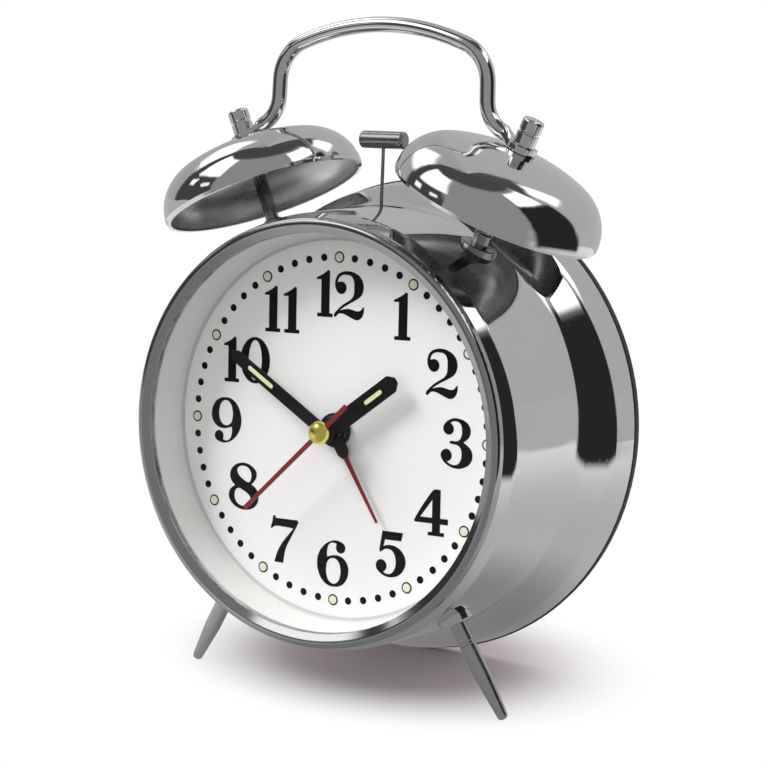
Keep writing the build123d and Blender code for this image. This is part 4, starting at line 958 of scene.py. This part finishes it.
# %% Second hand
BLADE_WIDTH = 1.15
TIP_SHARE = 0.85
TAIL_WIDTH = 1.2
# The two strips overlap under the boss.
POINTER_START, COUNTER_START = -1.0, -0.9
BOSS_RADIUS = 1.8
BOSS_BEHIND, BOSS_BEFORE = 0.04, 0.02
strip = on_dial("second_hand")
tip = max(strip, key=lambda spot: spot.xy.length)
tail = max(-spot.xy.dot(tip.xy) / tip.xy.length for spot in strip)
strip_back = min(spot.z for spot in strip)
strip_height = max(spot.z for spot in strip) - strip_back
reach = tip.xy.length


def blade(width, start, end, tip_share):
    """A flat strip along Y, its far end narrowed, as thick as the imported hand."""
    bpy.ops.object.select_all(action="DESELECT")
    bpy.ops.mesh.primitive_plane_add(size=1, location=(0, (start + end) / 2, strip_back))
    made = bpy.context.object
    edit_all("VERT")
    bpy.ops.transform.resize(value=(width, abs(end - start), 1))
    pick(made, "VERT", lambda corner: corner.co.y * (end - start) > 0)
    bpy.ops.transform.resize(value=(tip_share, 1, 1))
    stamp(strip_height)
    return made


pointer = blade(BLADE_WIDTH, POINTER_START, reach, TIP_SHARE)
counter = blade(TAIL_WIDTH, COUNTER_START, -tail, 1.0)
bpy.ops.object.select_all(action="DESELECT")
bpy.ops.mesh.primitive_circle_add(
    vertices=32, radius=BOSS_RADIUS, fill_type="NGON", location=(0, 0, strip_back - BOSS_BEHIND)
)
boss = bpy.context.object
edit_all("FACE")
stamp(BOSS_BEHIND + strip_height + BOSS_BEFORE)
join(pointer, counter, boss)
hand_turn = -math.atan2(tip.x, tip.y)
stand_on_dial(pointer, "second_hand_strip", "satin_red", hand_turn, "seconds")
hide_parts("second_hand")

# %% Brass button
BUTTON_RADIUS = 2.8
BUTTON_FLATTEN = 0.6
BUTTON_SKIRT = 0.22
button_base = min(spot.z for spot in on_dial("hand_cap"))
bpy.ops.object.select_all(action="DESELECT")
bpy.ops.mesh.primitive_uv_sphere_add(segments=48, ring_count=24, radius=BUTTON_RADIUS)
button = bpy.context.object
edit_all("VERT")
bpy.ops.mesh.bisect(plane_co=(0, 0, 0), plane_no=(0, 0, 1), clear_inner=True, use_fill=True)
bpy.ops.mesh.select_all(action="SELECT")
bpy.ops.transform.resize(value=(1, 1, BUTTON_FLATTEN), center_override=(0, 0, 0))
pick(button, "FACE", lambda face: face.normal.z < -0.9)
extrude(0, 0, -BUTTON_SKIRT)
bpy.ops.mesh.select_all(action="SELECT")
bpy.ops.transform.translate(value=(0, 0, button_base + BUTTON_SKIRT))
settle()
bpy.ops.object.shade_smooth_by_angle(angle=math.radians(50))
stand_on_dial(button, "hand_button", "lacquered_brass", hand_turn, "seconds")
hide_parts("hand_cap")

# %% [markdown]
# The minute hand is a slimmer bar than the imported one. A grid of nine faces becomes the bar: its rows are
# moved to the ends of the slit, the middle face is taken out for the luminous strip, and the end is drawn out
# to a narrower tip. A ring around the arbor is its hub: a circle whose edge is extruded inwards.

# %% Minute hand
SLIM_WIDTH = 3.0
SLIM_TIP = 1 / 3
BAR_GAP = 0.5
SLIT_ROOM = 0.03
HUB_PROUD = 0.02
GRID_SIZE = 6
GRID_STEP = GRID_SIZE / 3
slit = on_dial("minute_hand_lume")
minute_turn = -math.atan2(sum(spot.x for spot in slit), sum(spot.y for spot in slit))
level = Matrix.Rotation(-minute_turn, 4, "Z")
slit = [level @ spot for spot in slit]
packed = [level @ spot for spot in on_dial("minute_hand")]
half = max(abs(spot.x) for spot in packed if spot.y > 5)
reach = max(spot.y for spot in packed)
shoulder = max(spot.y for spot in packed if abs(spot.x) > 0.9 * half)
back, front = min(spot.z for spot in packed), max(spot.z for spot in packed)
hole = min(spot.xy.length for spot in packed)
hub_reach = max(-spot.y for spot in packed)
slit_half = max(abs(spot.x) for spot in slit) + SLIT_ROOM
slit_start = min(spot.y for spot in slit) - SLIT_ROOM
slit_end = max(spot.y for spot in slit) + SLIT_ROOM
print("minute hand", round(reach, 2), "mm long, slit", round(slit_start, 2), "to", round(slit_end, 2))

# %% Its bar
bpy.ops.object.select_all(action="DESELECT")
bpy.ops.mesh.primitive_grid_add(x_subdivisions=3, y_subdivisions=3, size=GRID_SIZE, location=(0, 0, back))
slim = bpy.context.object
pick(slim, "VERT", lambda corner: abs(corner.co.x) < GRID_STEP)
bpy.ops.transform.resize(value=(slit_half / (GRID_STEP / 2), 1, 1))
pick(slim, "VERT", lambda corner: abs(corner.co.x) > GRID_STEP)
bpy.ops.transform.resize(value=(SLIM_WIDTH / GRID_SIZE, 1, 1))
rows = [hole + BAR_GAP, slit_start, slit_end, shoulder]
for index in (3, 2, 1, 0):
    start = GRID_STEP * index - GRID_SIZE / 2
    pick(slim, "VERT", lambda corner: abs(corner.co.y - start) < GRID_STEP / 4)
    bpy.ops.transform.translate(value=(0, rows[index] - start, 0))
pick(slim, "FACE", lambda face: abs(face.center.x) < 0.1 and slit_start < face.center.y < slit_end)
bpy.ops.mesh.delete(type="ONLY_FACE")
corners = slim.data.vertices
pick(slim, "EDGE", lambda edge: all(corners[end].co.y > shoulder - 0.1 for end in edge.vertices))
extrude(0, reach - shoulder, 0)
bpy.ops.transform.resize(value=(SLIM_TIP, 1, 1))
stamp(front - back)
print("bar", [round(value, 2) for value in slim.dimensions])

# %% Its hub
bpy.ops.object.select_all(action="DESELECT")
bpy.ops.mesh.primitive_circle_add(vertices=48, radius=hub_reach, location=(0, 0, back - HUB_PROUD))
hub_ring = bpy.context.object
edit_all("EDGE")
extrude(0, 0, 0)
bpy.ops.transform.resize(value=(hole / hub_reach, hole / hub_reach, 1))
stamp(front - back + 2 * HUB_PROUD)
join(slim, hub_ring)
stand_on_dial(slim, "minute_hand_slim", "satin_black", minute_turn, "minute")
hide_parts("minute_hand")

# %% [markdown]
# The black cover closes the drum from behind, and its edge laps a little over the chromed rim. That edge is a
# thin hoop: a circle drawn around the dial's axis, extruded to a band and thickened with a softened border.

# %% Edge of the back cover
EDGE_PROUD = 0.03
EDGE_BEHIND = 0.1
EDGE_BAND, EDGE_WALL, EDGE_SOFT = 1.2, 0.4, 0.12
drum = nodes["case_drum"].data.vertices
rear_depth = (min(outward.dot(corner.co) for corner in drum) - outward.dot(hub)) / MM
rim_reach = max(corner.co.x for corner in drum) / MM
bpy.ops.object.select_all(action="DESELECT")
bpy.ops.mesh.primitive_circle_add(
    vertices=160, radius=rim_reach + EDGE_PROUD, location=(0, 0, rear_depth - EDGE_BEHIND)
)
hoop = bpy.context.object
edit_all("EDGE")
extrude(0, 0, EDGE_BAND)
settle()
thicken = hoop.modifiers.new("wall", "SOLIDIFY")
thicken.thickness = EDGE_WALL
thicken.offset = -1.0
soften = hoop.modifiers.new("edge", "BEVEL")
soften.width = EDGE_SOFT
soften.segments = 2
for modifier in ("wall", "edge"):
    bpy.ops.object.modifier_apply(modifier=modifier)
bpy.ops.object.shade_smooth_by_angle(angle=math.radians(40))
stand_on_dial(hoop, "cover_edge", "grained_black")
